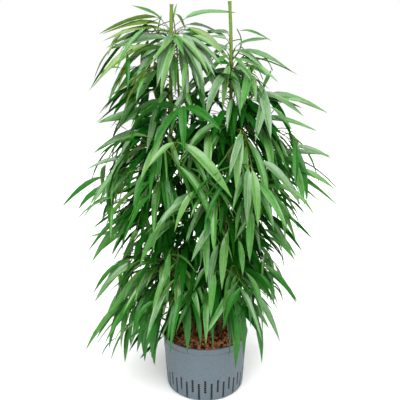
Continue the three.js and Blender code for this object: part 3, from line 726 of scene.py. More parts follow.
def growFountain(number):
    mass = startMass("fountain")
    for place, stem in enumerate(stems):
        space = {**mass, **topSpace(place)}
        heights = np.arange(stem["top"] - fountain["bare"], fountain["lowest"], -fountain["step"])
        for i, z in enumerate(heights):
            keys = (number, place, i)
            down = stem["top"] - float(z)
            depth = min(1, down / fountain["depth"])
            azimuth = i * goldenAngle + place
            start = onStem(stem, float(z) - fountain["fall"])
            out = drawFrom(fountain["twig"], *keys, use["place"]) + fountain["deeper"] * down
            root = onStem(stem, float(z)) + heading(azimuth, 0) * out
            twig = makeTwig(finest, start, start.lerp(root, 0.5) + up * singleTwig["bend"], root)
            swing = fountain["swing"] * (2 * draw(*keys, use["hang"]) - 1)
            hang = mix(*fountain["hang"], depth) + swing
            added = addArch(space, twig, 1, azimuth, mix(*fountain["rise"], depth), hang, keys)
            if added:
                mass["twigs"].append(twig)
                mass["leaves"][-1]["tint"] = fountain["tints"][i % len(fountain["tints"])]


# Leaves that stand out: stem, root, tip, tint and roll. Each hangs from a short twig on its stem,
# or without a stem from the nearest twig of the masses. A leaf's draws go by its row.
singleTwig = {"drop": 28, "bend": 8, "mostBend": 0.25, "broader": 1.2}
singleLeaves = [
    (0, (-118, -10, 1150), (-205, -40, 1194), "mature", -30),
    (0, (-114, -10, 1141), (-289, -40, 1119), "lime", -30),
    (0, (-115, -10, 1130), (-282, -70, 1100), "lime", -35),
    (0, (-101, -15, 1105), (-271, -60, 1076), "bluishSheen", -40),
    (0, (-155, -40, 1092), (-311, -110, 977), "lime", -40),
    (0, (-92, -18, 1124), (-132, -150, 981), "bluishSheen", -10),
    (0, (-82, -18, 1113), (-4, -140, 985), "bluishSheen", 15),
    (0, (-60, -20, 1111), (37, -80, 1040), "bluishSheen", 30),
    (1, (85, -10, 1083), (177, -60, 1105), "bluishSheen", 40),
    (1, (82, -10, 1072), (243, -40, 1018), "mature", 30),
    (1, (88, -15, 1050), (199, -90, 990), "fresh", 35),
    (1, (71, 20, 1122), (-13, 60, 1117), "bluishSheen", -50),
    (None, (46, -150, 362), (71, -175, 188), "deep", 0),
    (None, (66, -160, 367), (89, -185, 157), "deep", 5),
    (None, (85, -130, 365), (114, -155, 173), "deep", 10),
    (None, (-19, -165, 401), (22, -190, 223), "deep", 10),
    (None, (-62, -165, 401), (-54, -190, 213), "deep", 0),
    (None, (-118, -130, 336), (-154, -150, 142), "deep", -15),
    (0, (-66, 0, 1157), (87, 10, 1177), "mature", 45),
    (0, (-61, 10, 1139), (76, -20, 1036), "lime", 40),
    (1, (82, -5, 1075), (160, -70, 1030), "bluishSheen", 40),
    (1, (79, -5, 1055), (127, -80, 990), "mature", 30),
    (1, (65, 10, 1119), (-10, 50, 1120), "bluishSheen", -45),
    (1, (63, 10, 1069), (14, 40, 1092), "mature", -45),
    (None, (62, -220, 608), (43, -262, 444), "fresh", 0),
    (None, (37, -215, 566), (7, -255, 426), "bluishSheen", -10),
    (None, (88, -200, 573), (102, -225, 470), "mature", 0),
    (None, (10, -190, 491), (-41, -220, 401), "mature", -30),
    (None, (108, -170, 465), (169, -200, 332), "mature", 15),
    (None, (74, -170, 459), (63, -190, 311), "deep", 0),
    (None, (87, -150, 419), (93, -172, 289), "deep", 0),
    (None, (104, -150, 432), (132, -170, 284), "deep", 5),
    (None, (150, -120, 438), (215, -150, 346), "deep", 30),
    (None, (180, -90, 432), (276, -120, 335), "deep", 35),
    (None, (166, -110, 572), (260, -150, 485), "mature", 35),
    (None, (123, -220, 665), (118, -250, 521), "mature", 0),
    (None, (-30, -160, 392), (-48, -185, 276), "deep", -5),
    (None, (-19, -150, 368), (17, -178, 266), "deep", 10),
    (None, (-155, -110, 395), (-158, -140, 143), "deep", 0),
    (None, (-197, -90, 354), (-189, -110, 135), "deep", 5),
    (None, (-180, -70, 381), (-178, -90, 252), "deep", 0),
    (None, (-210, -90, 317), (-231, -110, 184), "deep", -15),
    (None, (-128, -120, 335), (-147, -140, 201), "deep", -10),
    (None, (-225, -70, 338), (-303, -90, 166), "deep", -40),
    (None, (-224, -80, 319), (-262, -110, 177), "mature", -30),
    (None, (-100, -180, 530), (-110, -205, 372), "mature", 0),
    (None, (-108, -140, 383), (-102, -160, 276), "deep", 0),
    (None, (-84, -180, 494), (-73, -200, 392), "bluishSheen", 5),
    (0, (-114, 20, 1117), (-176, 60, 1109), "bluishSheen", -45),
    (0, (-72, 0, 1130), (28, 30, 1089), "mature", 45),
    (0, (-82, 10, 1119), (49, 40, 1069), "bluishSheen", 45),
    (1, (68, 0, 1100), (-13, 30, 1111), "bluishSheen", -45),
    (0, (-39, 0, 1069), (68, -20, 1039), "mature", 40),
    (0, (-72, -25, 1097), (-17, -130, 966), "bluishSheen", 12),
    (0, (-101, 0, 1108), (-192, 30, 1069), "mature", -45),
    (None, (169, -80, 679), (264, -130, 533), "mature", 30),
    (None, (-253, -80, 454), (-340, -110, 363), "deep", -45),
    (None, (-159, -60, 878), (-310, -50, 871), "mature", -50),
    (None, (-171, -60, 847), (-315, -60, 797), "bluishSheen", -50),
    (None, (166, 0, 944), (355, -10, 898), "mature", 35),
    (None, (153, -40, 879), (325, -60, 847), "mature", 40),
    (0, (-30, -20, 1053), (32, -80, 959), "mature", 30),
    (0, (-44, -20, 1031), (-1, -110, 899), "deep", 20),
    (0, (-95, -15, 1070), (-84, -110, 959), "mature", 5),
    (0, (-73, -12, 1075), (-66, -60, 994), "fresh", -8),
    (1, (74, -10, 1030), (24, -70, 1038), "deep", -50),
    (1, (69, 0, 1024), (54, -20, 969), "mature", -20),
    (0, (-135, -15, 1086), (-199, -90, 955), "bluishSheen", -30),
    (0, (-151, 10, 1089), (-261, 40, 1002), "mature", -50),
    (0, (-143, 0, 1047), (-278, -20, 926), "deep", -45),
    (0, (-150, 0, 1010), (-272, -30, 886), "mature", -45),
    (0, (-136, -20, 1020), (-198, -110, 915), "mature", -35),
    (0, (-53, 10, 1092), (23, 60, 1045), "mature", 45),
    (1, (95, -15, 957), (121, -80, 870), "mature", 10),
    (1, (109, -12, 977), (185, -80, 904), "mature", 35),
    (1, (104, 10, 1030), (194, 50, 993), "mature", 45),
    (1, (119, 0, 944), (255, -20, 923), "mature", 35),
    (1, (131, 0, 933), (284, -10, 910), "fresh", 35),
    (0, (-116, -40, 936), (-240, -100, 870), "mature", -45),
    (0, (-108, -40, 902), (-305, -80, 875), "mature", -45),
    (None, (170, -60, 572), (272, -110, 479), "mature", 35),
    (None, (170, -60, 600), (245, -140, 515), "fresh", 30),
    (None, (-196, -60, 380), (-297, -110, 297), "mature", -40),
    (0, (-50, -10, 1103), (30, -70, 1016), "bluishSheen", 30),
    (0, (-44, -10, 1116), (55, -40, 1056), "fresh", 45),
    (1, (71, -5, 1086), (-1, -50, 1043), "bluishSheen", -45),
    (1, (68, 5, 1075), (-22, 30, 1086), "mature", -50),
    (0, (-75, -15, 1089), (-51, -120, 927), "bluishSheen", 0),
    (0, (-84, 5, 1114), (-161, 30, 1128), "mature", -45),
    (0, (-89, -12, 1100), (-185, -60, 1049), "bluishSheen", -45),
    (1, (65, -10, 1025), (-27, -60, 961), "mature", -40),
    (0, (-69, -12, 1124), (-7, -120, 971), "bluishSheen", 15),
    (0, (-66, -8, 1130), (77, 10, 1041), "deep", 35),
    (0, (-56, 8, 1144), (61, 60, 1109), "bluishSheen", 40),
    (0, (-64, -15, 1108), (46, -60, 1032), "fresh", 35),
    (0, (-61, -15, 1097), (27, -90, 1001), "bluishSheen", 25),
    (0, (-67, -15, 1086), (-1, -100, 942), "mature", 15),
    (1, (65, -10, 1061), (-1, -80, 995), "mature", -30),
    (1, (62, 10, 1103), (-1, 40, 1131), "bluishSheen", -40),
    (1, (68, -12, 1042), (47, -90, 913), "fresh", -5),
    (1, (79, -12, 1030), (160, -80, 912), "bluishSheen", 25),
    (0, (-95, -15, 1075), (-125, -110, 943), "fresh", -12),
    (0, (-112, -10, 1092), (-216, -80, 962), "mature", -30),
    (None, (-76, -240, 848), (65, -300, 714), "fresh", 30),
    (None, (-66, -232, 844), (7, -285, 731), "mature", 20),
    (None, (-78, -240, 848), (-148, -285, 789), "fresh", -30),
    (None, (-27, -270, 730), (-82, -320, 630), "fresh", -25),
    (None, (35, -280, 652), (-39, -330, 553), "bluishSheen", -35),
    (None, (116, -250, 784), (132, -310, 638), "fresh", 10),
    (None, (108, -250, 787), (104, -300, 645), "bluishSheen", -5),
    (None, (91, -200, 873), (76, -280, 725), "fresh", 5),
    (None, (26, -250, 492), (12, -290, 375), "mature", 0),
    (None, (-44, -205, 388), (-15, -232, 254), "deep", 5),
    (None, (105, -230, 445), (46, -262, 324), "deep", -25),
    (None, (142, -180, 789), (253, -230, 676), "bluishSheen", 35),
    (None, (226, -20, 934), (354, -30, 898), "fresh", 35),
    (None, (151, -40, 959), (279, -60, 893), "bluishSheen", 35),
    (None, (179, -50, 920), (248, -70, 851), "mature", 30),
    (None, (258, -20, 796), (374, -40, 764), "bluishSheen", 35),
    (None, (247, -30, 734), (392, -50, 669), "fresh", 40),
    (None, (-214, -30, 889), (-312, -40, 873), "fresh", -40),
    (None, (-227, -40, 826), (-330, -60, 782), "mature", -45),
    (None, (-247, -40, 761), (-356, -60, 732), "bluishSheen", -45),
    (None, (-253, -60, 534), (-356, -60, 527), "fresh", -45),
    (None, (-227, -60, 581), (-342, -90, 458), "mature", -45),
    (None, (-223, -70, 463), (-319, -110, 356), "mature", -50),
    (None, (-169, -90, 383), (-278, -130, 253), "deep", -55),
    (None, (-182, -80, 395), (-314, -110, 270), "mature", -50),
    (None, (-143, -110, 376), (-226, -140, 208), "mature", -50),
    (None, (-121, -120, 374), (-208, -150, 190), "deep", -45),
    (None, (-112, -130, 365), (-163, -150, 170), "deep", -30),
    (None, (-217, -60, 333), (-373, -90, 166), "mature", -30),
    (None, (-217, -60, 326), (-346, -75, 189), "mature", -20),
    (None, (-201, -90, 327), (-312, -120, 197), "mature", -30),
    (None, (-216, -80, 454), (-336, -120, 338), "bluishSheen", -30),
    (None, (124, -60, 302), (183, -60, 98), "deep", 25),
    (None, (118, -60, 320), (199, -80, 233), "mature", 35),
    (None, (159, -80, 454), (278, -110, 336), "mature", 35),
    (None, (170, -20, 741), (401, -40, 619), "mature", 35),
    (None, (169, -20, 757), (386, 0, 765), "fresh", 40),
]


def growSingles(number):
    mass = startMass("single")
    places = holders()
    for i, (place, root, tip, tint, roll) in enumerate(singleLeaves):
        root = Vector(root)
        start = min(places, key=lambda p: (p - root).length)
        if place is not None:
            start = onStem(stems[place], root.z - singleTwig["drop"])
        rise = min(singleTwig["bend"], (root - start).length * singleTwig["mostBend"])
        twig = makeTwig(finest, start, start.lerp(root, 0.5) + up * rise, root)
        mass["twigs"].append(twig)
        leaf = leafTo(root, Vector(tip), (number, i))
        leaf.update(twig=twig, tint=tint, roll=roll, broader=singleTwig["broader"])
        mass["leaves"].append(leaf)


# Sprays all round the crown's edge: a fine shoot reaches out from the nearest twig, bough or cane,
# and long leaves fan out from its end. The middle leaf of each sets how far the spray reaches,
# and fan gives the others' places along the shoot and their turns aside.
edge = {"count": 46, "heights": (950, 110), "reach": (0.72, 1.0), "slopes": (20, 54),
        "slopeSwing": 12, "lengths": (170, 215), "near": 20, "shootBend": 0.2, "caneHeight": 900,
        "bareCane": 60, "caneStep": 12, "rise": (-10, 45),
        "fan": ((0.94, 34), (0.9, -36), (0.84, 58), (0.8, -60), (0.74, 15))}


# Places that can carry a twig
def holders():
    points = []
    for mass in masses:
        for twig in mass["twigs"]:
            points += twig["points"][1:]
        if "bough" in mass:
            points += mass["bough"]["points"][2:]
    for stem in stems:
        heights = np.arange(fillTop + bough["lowest"], stem["top"] - edge["bareCane"],
                            edge["caneStep"])
        points += [onStem(stem, float(z)) for z in heights]
    return points


def growEdge(number):
    middle = {"apex": Vector(), "profiles": ("left", "right"), "hang": tiers[1]["hang"]}
    tops = [{**topSpace(cane), "hang": topTier["hang"]} for cane in (0, 1)]
    places = holders()
    mass = startMass("edge")
    for i in range(edge["count"]):
        share = (i + draw(number, i)) / edge["count"]
        azimuth = i * goldenAngle
        height = mix(*edge["heights"], share)
        space = middle if height < edge["caneHeight"] else tops[1 if math.cos(azimuth) > 0 else 0]
        spray = {**mass, **space}
        reach = leafReach(space, azimuth, height) * drawFrom(edge["reach"], number, i, 1)
        height = max(height, lowestAt(azimuth))
        tip = polar(reach, azimuth, height) + space["apex"]
        slope = mix(*edge["slopes"], share) + edge["slopeSwing"] * (2 * draw(number, i, 2) - 1)
        length = drawFrom(edge["lengths"], number, i, 3)
        root = tip - heading(azimuth, -slope * degree) * length
        nearest = min(places, key=lambda place: (place - root).length)
        control = nearest.lerp(root, 0.5) + up * (edge["shootBend"] * (root - nearest).length)
        shoot = makeTwig(finest, nearest, control, root)
        if (nearest - root).length > edge["near"] and not twigFits(spray, shoot):
            continue
        mass["twigs"].append(shoot)
        mass["leaves"].append({**leafTo(root, tip, (number, i)), "twig": shoot})
        for j, (place, aside) in enumerate(edge["fan"], 1):
            keys = (number, i, j)
            rise = drawFrom(edge["rise"], *keys, use["rise"])
            hang = -spray["hang"] * drawFrom(leafRule["hang"], *keys, use["hang"])
            addArch(spray, shoot, place, azimuth + aside * degree, rise, hang, keys)


# Short leafy shoots on the canes and boughs fill the crown's heart
heart = {"lowest": 280, "bareTop": 230, "spacing": 34, "boughPlaces": (0.45, 0.8),
         "length": (60, 120), "rise": (0, 60), "bend": 50, "hang": 80}


def addShoot(mass, root, azimuth, keys):
    half = drawFrom(heart["length"], *keys, use["length"]) / 2
    rise = drawFrom(heart["rise"], *keys, use["rise"])
    twig = droopingTwig(finest, root, azimuth, rise, heart["bend"], half)
    if twigFits(mass, twig):
        mass["twigs"].append(twig)
        addLeaf(mass, twig, 1, draw(*keys) * fullTurn, (*keys, use["end"]))
        addLeavesAlong(mass, twig, keys)


def growHeart(number):
    mass = startMass("heart", apex=Vector(), profiles=("left", "right"), hang=heart["hang"])
    for place, stem in enumerate(stems):
        heights = np.arange(heart["lowest"], stem["top"] - heart["bareTop"], heart["spacing"])
        for i, z in enumerate(heights):
            addShoot(mass, onStem(stem, float(z)), i * goldenAngle + place, (number, place, i))
    for i, carrier in enumerate(masses):
        for j, share in enumerate(heart["boughPlaces"] if "bough" in carrier else ()):
            root, forward = pointOn(carrier["bough"], share)
            if root.z < heart["lowest"]:
                continue
            side = 1 if (i + j) % 2 else -1
            turn = side * drawFrom(sideRule["turn"], i, j) * degree
            addShoot(mass, root, math.atan2(forward.y, forward.x) + turn, (number, i, j, 1))


masses = layOutMasses()
foliageNodes = ["foliage_" + mass["name"] for mass in masses]
for number, mass in enumerate(masses):
    growMass(mass, number)
growHeart(len(masses))
growSingles(len(masses))
growFountain(len(masses))
growEdge(len(masses))
leaves = [leaf for mass in masses for leaf in mass["leaves"]]
# Side twigs and shoots that carry no leaf are left out
leafy = {id(leaf["twig"]) for leaf in leaves}
twigs = [twig for mass in masses for twig in mass["twigs"]
         if twig["order"] < 2 or id(twig) in leafy]
print(f"crown: {len(masses)} masses, {len(twigs)} twigs, {len(leaves)} leaves")


# Leaf meshes, one piece for each tint; a whole twig has one tint. Some young sprays at the left top
# are lime, those near the stems take the shade tint, a darker green that is painted shade, and low
# ones are deeper than the rest.

tintRule = {"limeHeight": 1000, "limeRight": -130, "limeShare": 0.14, "inner": 0.42, "low": 430,
            "shares": [("mature", 0.42), ("fresh", 0.2), ("bluishSheen", 0.24), ("deep", 0.14)],
            "lowShares": [("mature", 0.42), ("fresh", 0.08), ("bluishSheen", 0.14),
                          ("deep", 0.36)]}


def tintOf(twig, number):
    end = twig["points"][-1]
    high = end.z > tintRule["limeHeight"]
    leftTop = high and end.x < tintRule["limeRight"]
    if leftTop and draw(number, use["tint"]) < tintRule["limeShare"]:
        return "lime"
    reach = reachAround(("left", "right"), math.atan2(end.y, end.x), end.z)
    # Sprays near the stems, inside the crown, take the painted shade tint
    if not high and math.hypot(end.x, end.y) < tintRule["inner"] * reach:
        return "shade"
    roll = draw(number, use["tint"], use["tint"])
    shares = tintRule["lowShares" if end.z < tintRule["low"] else "shares"]
    for tint, share in shares:
        roll -= share
        if roll < 0:
            return tint
    return shares[-1][0]


# Round each station lie seven points: edge, bow, rib, rib, bow and edge on top, and the keel below.
# kinds are the materials of the strips between them, blade, midrib or underside, and creases the
# points along which the outline and both sides of the midrib run.
leafRing = {"kinds": [0, 0, 1, 0, 0, 2, 2], "creases": (0, 2, 3, 5)}


def leafPoints(leaf):
    keys = leaf["keys"]
    azimuths = leaf["azimuth"] + leaf["sweep"] * degree * stations
    aside = np.stack([-np.sin(azimuths), np.cos(azimuths), np.zeros(len(stations))], axis=1)
    forward = np.gradient(leaf["centres"], axis=0)
    forward /= np.linalg.norm(forward, axis=1)[:, None]
    face = np.cross(forward, aside)
    roll = leaf.get("roll", drawFrom(leafRule["roll"], *keys, use["roll"]))
    rolls = roll + drawFrom(leafRule["twist"], *keys, use["twist"]) * stations
    cosine, sine = np.cos(rolls * degree)[:, None], np.sin(rolls * degree)[:, None]
    aside, face = aside * cosine + face * sine, face * cosine - aside * sine
    width = leaf["length"] * drawFrom(leafRule["widthShare"], *keys, use["width"])
    width *= leaf.get("broader", 1)
    half = np.array(leafShape["widths"]) * width / 2
    rib = np.minimum(leafShape["ribHalf"], half * leafShape["ribMost"])
    phase = draw(*keys, use["wave"]) * fullTurn
    swing = leafShape["wave"] * np.sin(phase + fullTurn * leafShape["waves"] * stations)
    fold, bow = leafShape["fold"], leafShape["bowPlace"]
    bowed = half * (fold * bow + leafShape["bow"])
    flat = rib * 0
    rings = [(half, half * (fold + swing)), (half * bow, bowed), (rib, flat),
             (-rib, flat), (-half * bow, bowed), (-half, half * (fold - swing)),
             (flat, -np.minimum(leafShape["keel"], half))]
    points = [leaf["centres"] + aside * a[:, None] + face * h[:, None] for a, h in rings]
    return np.stack(points, axis=1)


def leafMesh(name, group, materials):
    around, count = len(leafRing["kinds"]), len(stations)
    faces = []
    for number in range(len(group)):
        faces += tubeFaces(number * around * count, count, around)
    # The stalk and both ends take the midrib's material
    kinds = [1] * around + leafRing["kinds"] * (count - 2) + [1, 1]
    points = np.concatenate([leafPoints(leaf) for leaf in group]).reshape(-1, 3)
    mesh = bpy.data.meshes.new(name)
    mesh.from_pydata((points * mm).tolist(), [], faces)
    for material in materials:
        mesh.materials.append(material)
    mesh.polygons.foreach_set("material_index", kinds * len(group))
    mesh.shade_smooth()
    ends = np.empty(len(mesh.edges) * 2, dtype=np.int32)
    mesh.edges.foreach_get("vertices", ends)
    low, high = np.sort(ends.reshape(-1, 2), axis=1).T
    sharp = (high - low == around) & np.isin(low % around, leafRing["creases"])
    mesh.attributes.new("sharp_edge", "BOOLEAN", "EDGE").data.foreach_set("value", sharp)
    return mesh


byTint = {tint: [] for tint in leafTints}
tints = {}
for leaf in leaves:
    spray = id(leaf["twig"])
    tints.setdefault(spray, tintOf(leaf["twig"], len(tints)))
    byTint[leaf.get("tint", tints[spray])].append(leaf)
for tint, group in byTint.items():
    mesh = leafMesh(f"leaves_{tint}", group, leafMaterials(tint))
    addPiece(f"leaves_{tint}", mesh, foliageNodes)
print("leaves:", {tint: len(group) for tint, group in byTint.items()})


# Twigs: lines with a thickness, skinned by geometry nodes, each with a pointed bud at its end

twigShape = {"sides": 6, "budLength": 9, "budSwell": 1.25, "budPlace": 0.35, "point": 0.15}
fallenTwig = {"points": [(-126, -10, 186), (-117, 18, 184.5), (-108, 46, 185.5), (-100, 67, 187)],
              "radii": [1.1, 1.2, 1.0, 0.6]}


def twigLines():
    lines = [([Vector(p) for p in fallenTwig["points"]], fallenTwig["radii"])]
    for twig in twigs:
        points, radii = list(twig["points"]), list(twig["radii"])
        forward = (points[-1] - points[-2]).normalized() * twigShape["budLength"]
        points += [points[-1] + forward * twigShape["budPlace"], points[-1] + forward]
        radii += [radii[-1] * twigShape["budSwell"], twigShape["point"]]
        lines.append((points, radii))
    return lines


def lineMesh(lines):
    points, edges, radii = [], [], []
    for line, thickness in lines:
        edges += [(len(points) + i, len(points) + i + 1) for i in range(len(line) - 1)]
        points += [tuple(point * mm) for point in line]
        radii += [radius * mm for radius in thickness]
    mesh = bpy.data.meshes.new("twigLines")
    mesh.from_pydata(points, edges, [])
    mesh.attributes.new("thickness", "FLOAT", "POINT").data.foreach_set("value", radii)
    return mesh


def skinTree():
    tree, given = newTree("skinTwigs", {"Sides": "Int", "Bark": "Material"})
    lines = addNode(tree, "GeometryNodeMeshToCurve", {"Mesh": given["Geometry"]})
    thickness = addNode(tree, "GeometryNodeInputNamedAttribute", {"Name": "thickness"},
                        data_type="FLOAT")
    ring = addNode(tree, "GeometryNodeCurvePrimitiveCircle",
                   {"Resolution": given["Sides"], "Radius": 1.0})
    skin = addNode(tree, "GeometryNodeCurveToMesh",
                   {"Curve": lines, "Profile Curve": ring, "Scale": thickness, "Fill Caps": True})
    endTree(tree, skin, given["Bark"])
    return tree


twigMesh = grow(lineMesh(twigLines()), skinTree(), {"Sides": twigShape["sides"], "Bark": twigBark})
twigMesh.shade_smooth()
addPiece("twigs", twigMesh, foliageNodes)
print("twigs:", len(twigMesh.polygons), "faces")


# Canes and boughs: tubes with the relief of their bark

caneShape = {
    "sides": 24,
    "step": 4.5,
    "flare": 0.55,
    "flareHeight": 26,
    "scarGap": (36, 13),     # between leaf scars, at the foot and at the top
    "scarRise": 0.45,
    "scarWidth": 1.6,
    "lump": 0.35,
    "lumpSize": (7, 16),     # across and along
    "headHeight": 9,
    "bevel": 0.8,
    "sunk": 3,
}
boughShape = {"sides": 10, "lump": 0.3, "lumpSize": 9}
# Fig bark by height: brown and corky at the foot, olive, then green and waxy near the top
caneBark = {"foot": ("#4f3d2b", "#7a6547"), "grain": 5, "rough": 0.62, "relief": 0.5,
            "stretch": (1, 1, 2.5), "bands": ((200, 420, "#5c5a2c"), (420, 1000, "#6d8a2e"))}


def caneMaterial():
    material = makeMaterial("caneFigBark", caneBark["foot"], caneBark["grain"], caneBark["rough"],
                            caneBark["relief"], stretch=caneBark["stretch"])
    tree = material.node_tree
    shader = tree.nodes["Principled BSDF"]
    young = shader.inputs["Base Color"].links[0].from_socket
    place = addNode(tree, "ShaderNodeTexCoord").outputs["Object"]
    height = addNode(tree, "ShaderNodeSeparateXYZ", {"Vector": place}).outputs["Z"]
    for low, high, colour in caneBark["bands"]:
        share = addNode(tree, "ShaderNodeMapRange",
                        {"Value": height, "From Min": low * mm, "From Max": high * mm})
        young = addNode(tree, "ShaderNodeMix", {0: share, 6: young, 7: linear(colour)},
                        data_type="RGBA").outputs[2]
    tree.links.new(young, shader.inputs["Base Color"])
    return material


def ringAround(centre, forward, reference, radii):
    v = (reference - forward * reference.dot(forward)).normalized()
    u = v.cross(forward)
    turns = [fullTurn * j / len(radii) for j in range(len(radii))]
    return [centre + (u * math.cos(turn) + v * math.sin(turn)) * radius
            for turn, radius in zip(turns, radii)]


def scarHeights(stem):
    heights, z = [], fillTop + caneShape["scarGap"][0]
    while z < stem["top"] - caneShape["headHeight"]:
        heights.append(z)
        z += mix(*caneShape["scarGap"], (z - fillTop) / (stem["top"] - fillTop))
    return np.array(heights)


def caneRadii(stem, z, scars):
    foot, top = fillTop, stem["top"]
    taper = mix(stem["footRadius"], stem["topRadius"], (z - foot) / (top - foot))
    flare = max(0, 1 - (z - foot) / caneShape["flareHeight"]) ** 2
    radius = taper * (1 + caneShape["flare"] * flare)
    radius += caneShape["scarRise"] * np.exp(-((scars - z) / caneShape["scarWidth"]) ** 2).sum()
    head = caneShape["headHeight"]
    if z > top - head:
        radius += stem["headSwell"] * (z - top + head) / head
    wide, long = caneShape["lumpSize"]
    shift = Vector(stem["axis"][0])
    return [radius + caneShape["lump"] * noise.noise(spot + shift)
            for spot in ringOf(taper / wide, z / long, caneShape["sides"])]


def caneMesh(stem, bark):
    scars = scarHeights(stem)
    heights = list(np.arange(fillTop - caneShape["sunk"], stem["top"], caneShape["step"]))
    points = []
    for z in heights:
        forward = (onStem(stem, z + 1) - onStem(stem, z - 1)).normalized()
        points += ringAround(onStem(stem, z), forward, across, caneRadii(stem, z, scars))
    rim = caneRadii(stem, stem["top"], scars)
    bevel = caneShape["bevel"]
    points += ringAround(onStem(stem, stem["top"] - bevel), up, across, rim)
    points += ringAround(onStem(stem, stem["top"]), up, across, [r - bevel for r in rim])
    faces = tubeFaces(0, len(heights) + 2, caneShape["sides"])
    mesh = makeMesh(stem["name"] + "_bark", points, faces, (bark, cutWood))
    mesh.polygons[len(faces) - 1].material_index = 1
    return mesh


def boughMesh():
    points, faces = [], []
    sides = boughShape["sides"]
    for mass in masses:
        if "bough" not in mass:
            continue
        line = mass["bough"]["points"]
        faces += tubeFaces(len(points), len(line), sides)
        for i, centre in enumerate(line):
            forward = (line[min(i + 1, len(line) - 1)] - line[max(i - 1, 0)]).normalized()
            radius = mix(*bough["radii"], i / (len(line) - 1))
            ring = ringAround(centre, forward, up, [radius] * sides)
            for point in ring:
                lump = noise.noise(point / boughShape["lumpSize"]) * boughShape["lump"]
                points.append(point + (point - centre).normalized() * lump)
    return makeMesh("boughs_bark", points, faces, (branchBark,))


barkByHeight = caneMaterial()
for stem in stems:
    addPiece(stem["name"] + "_bark", caneMesh(stem, barkByHeight), [stem["name"]])
addPiece("boughs_bark", boughMesh(),
         ["bough_" + mass["name"] for mass in masses if "bough" in mass])
print("canes and boughs done")


# The pot: turned from its profile, then its dashed slots are cut by geometry nodes

potShape = {
    "sides": 160,
    "collarHeight": 20,
    "collarStep": 3,
    "collarTurn": (200, 90),     # degrees, round the collar's edge from below
    "groove": 2.4,         # under the collar
    "wallTopRadius": 136,
    "wallFootRadius": 126,
    "footRound": 12,
    "wall": 2.5,
    "floor": 4,
    "lip": 1.5,
    "arcSteps": 5,
}
# Two staggered rows of upright slots, each a column of dashes
slots = {"perRow": 20, "width": 6.8, "dash": 7.0, "pitch": 7.6, "depth": 30,
         "upperBottom": 31, "upperCount": 6, "lowerBottom": 5, "lowerCount": 8}


def wallRadius(z):
    foot, top = potShape["footRound"], potHeight - potShape["collarHeight"]
    return mix(potShape["wallFootRadius"], potShape["wallTopRadius"], (z - foot) / (top - foot))


def arc(centre, radius, fromAngle, toAngle):
    steps = potShape["arcSteps"]
    turns = [mix(fromAngle, toAngle, i / steps) * degree for i in range(steps + 1)]
    return [(centre[0] + radius * math.cos(t), centre[1] + radius * math.sin(t)) for t in turns]


def potProfile():
    foot, lip, wall = potShape["footRound"], potShape["lip"], potShape["wall"]
    flat = potShape["wallFootRadius"] - foot
    wallTop = potHeight - potShape["collarHeight"]
    step = potShape["collarStep"]
    profile = [(0, 0)] + arc((flat, foot), foot, -90, 0)
    groove = potShape["groove"]
    profile += [(wallRadius(wallTop - groove), wallTop - groove),
                (wallRadius(wallTop) - groove / 2, wallTop - groove / 2)]
    profile += arc((potShape["wallTopRadius"] + step / 2, wallTop + step / 2), step / 2,
                   *potShape["collarTurn"])
    profile += arc((potRadius - lip, potHeight - lip), lip, 0, 90)
    inner = wallRadius(potHeight) - wall
    profile += arc((inner + lip / 2, potHeight - lip / 2), lip / 2, 90, 180)
    profile += [(wallRadius(foot) - wall, foot), (flat, potShape["floor"]), (0, potShape["floor"])]
    return profile


def turnedMesh(name, profile, sides, material):
    points, starts = [], []
    for radius, z in profile:
        starts.append(len(points))
        points += ringOf(radius, z, sides if radius else 1)
    faces = []
    for i in range(len(profile) - 1):
        here, there = starts[i], starts[i + 1]
        for j in range(sides):
            k = (j + 1) % sides
            if not profile[i][0]:
                faces.append((here, there + k, there + j))
            elif not profile[i + 1][0]:
                faces.append((here + j, here + k, there))
            else:
                faces.append((here + j, here + k, there + k, there + j))
    return makeMesh(name, points, faces, (material,))


def slotTree():
    tree, given = newTree("cutSlots", {
        "PerRow": "Int", "Dash": "Vector", "Pitch": "Float", "Radius": "Float",
        "UpperHeight": "Float", "UpperCount": "Int", "LowerHeight": "Float", "LowerCount": "Int",
        "Plastic": "Material"})
    dash = addNode(tree, "GeometryNodeMeshCube", {"Size": given["Dash"]})
    pitch = addNode(tree, "ShaderNodeCombineXYZ", {"Z": given["Pitch"]})
    rowTurn = addNode(tree, "ShaderNodeMath", {0: fullTurn, 1: given["PerRow"]},
                      operation="DIVIDE")
    index = addNode(tree, "GeometryNodeInputIndex")
    turn = addNode(tree, "ShaderNodeMath", {0: index, 1: rowTurn}, operation="MULTIPLY")
    facing = addNode(tree, "ShaderNodeCombineXYZ", {"Z": turn})
    halfTurn = addNode(tree, "ShaderNodeMath", {0: rowTurn, 1: 0.5}, operation="MULTIPLY")
    cut = addNode(tree, "GeometryNodeMeshBoolean", {"Mesh 1": given["Geometry"]},
                  operation="DIFFERENCE", solver="EXACT")
    for label, stagger in (("Upper", 0.0), ("Lower", halfTurn)):
        column = addNode(tree, "GeometryNodeMeshLine",
                         {"Count": given[label + "Count"], "Offset": pitch})
        dashes = addNode(tree, "GeometryNodeInstanceOnPoints",
                         {"Points": column, "Instance": dash})
        ring = addNode(tree, "GeometryNodeMeshCircle",
                       {"Vertices": given["PerRow"], "Radius": given["Radius"]})
        around = addNode(tree, "GeometryNodeInstanceOnPoints",
                         {"Points": ring, "Instance": dashes, "Rotation": facing})
        height = addNode(tree, "ShaderNodeCombineXYZ", {"Z": given[label + "Height"]})
        spin = addNode(tree, "ShaderNodeCombineXYZ", {"Z": stagger})
        row = addNode(tree, "GeometryNodeTransform",
                      {"Geometry": around, "Translation": height, "Rotation": spin})
        real = addNode(tree, "GeometryNodeRealizeInstances", {"Geometry": row})
        tree.links.new(real.outputs[0], cut.inputs["Mesh 2"])
    endTree(tree, cut, given["Plastic"])
    return tree


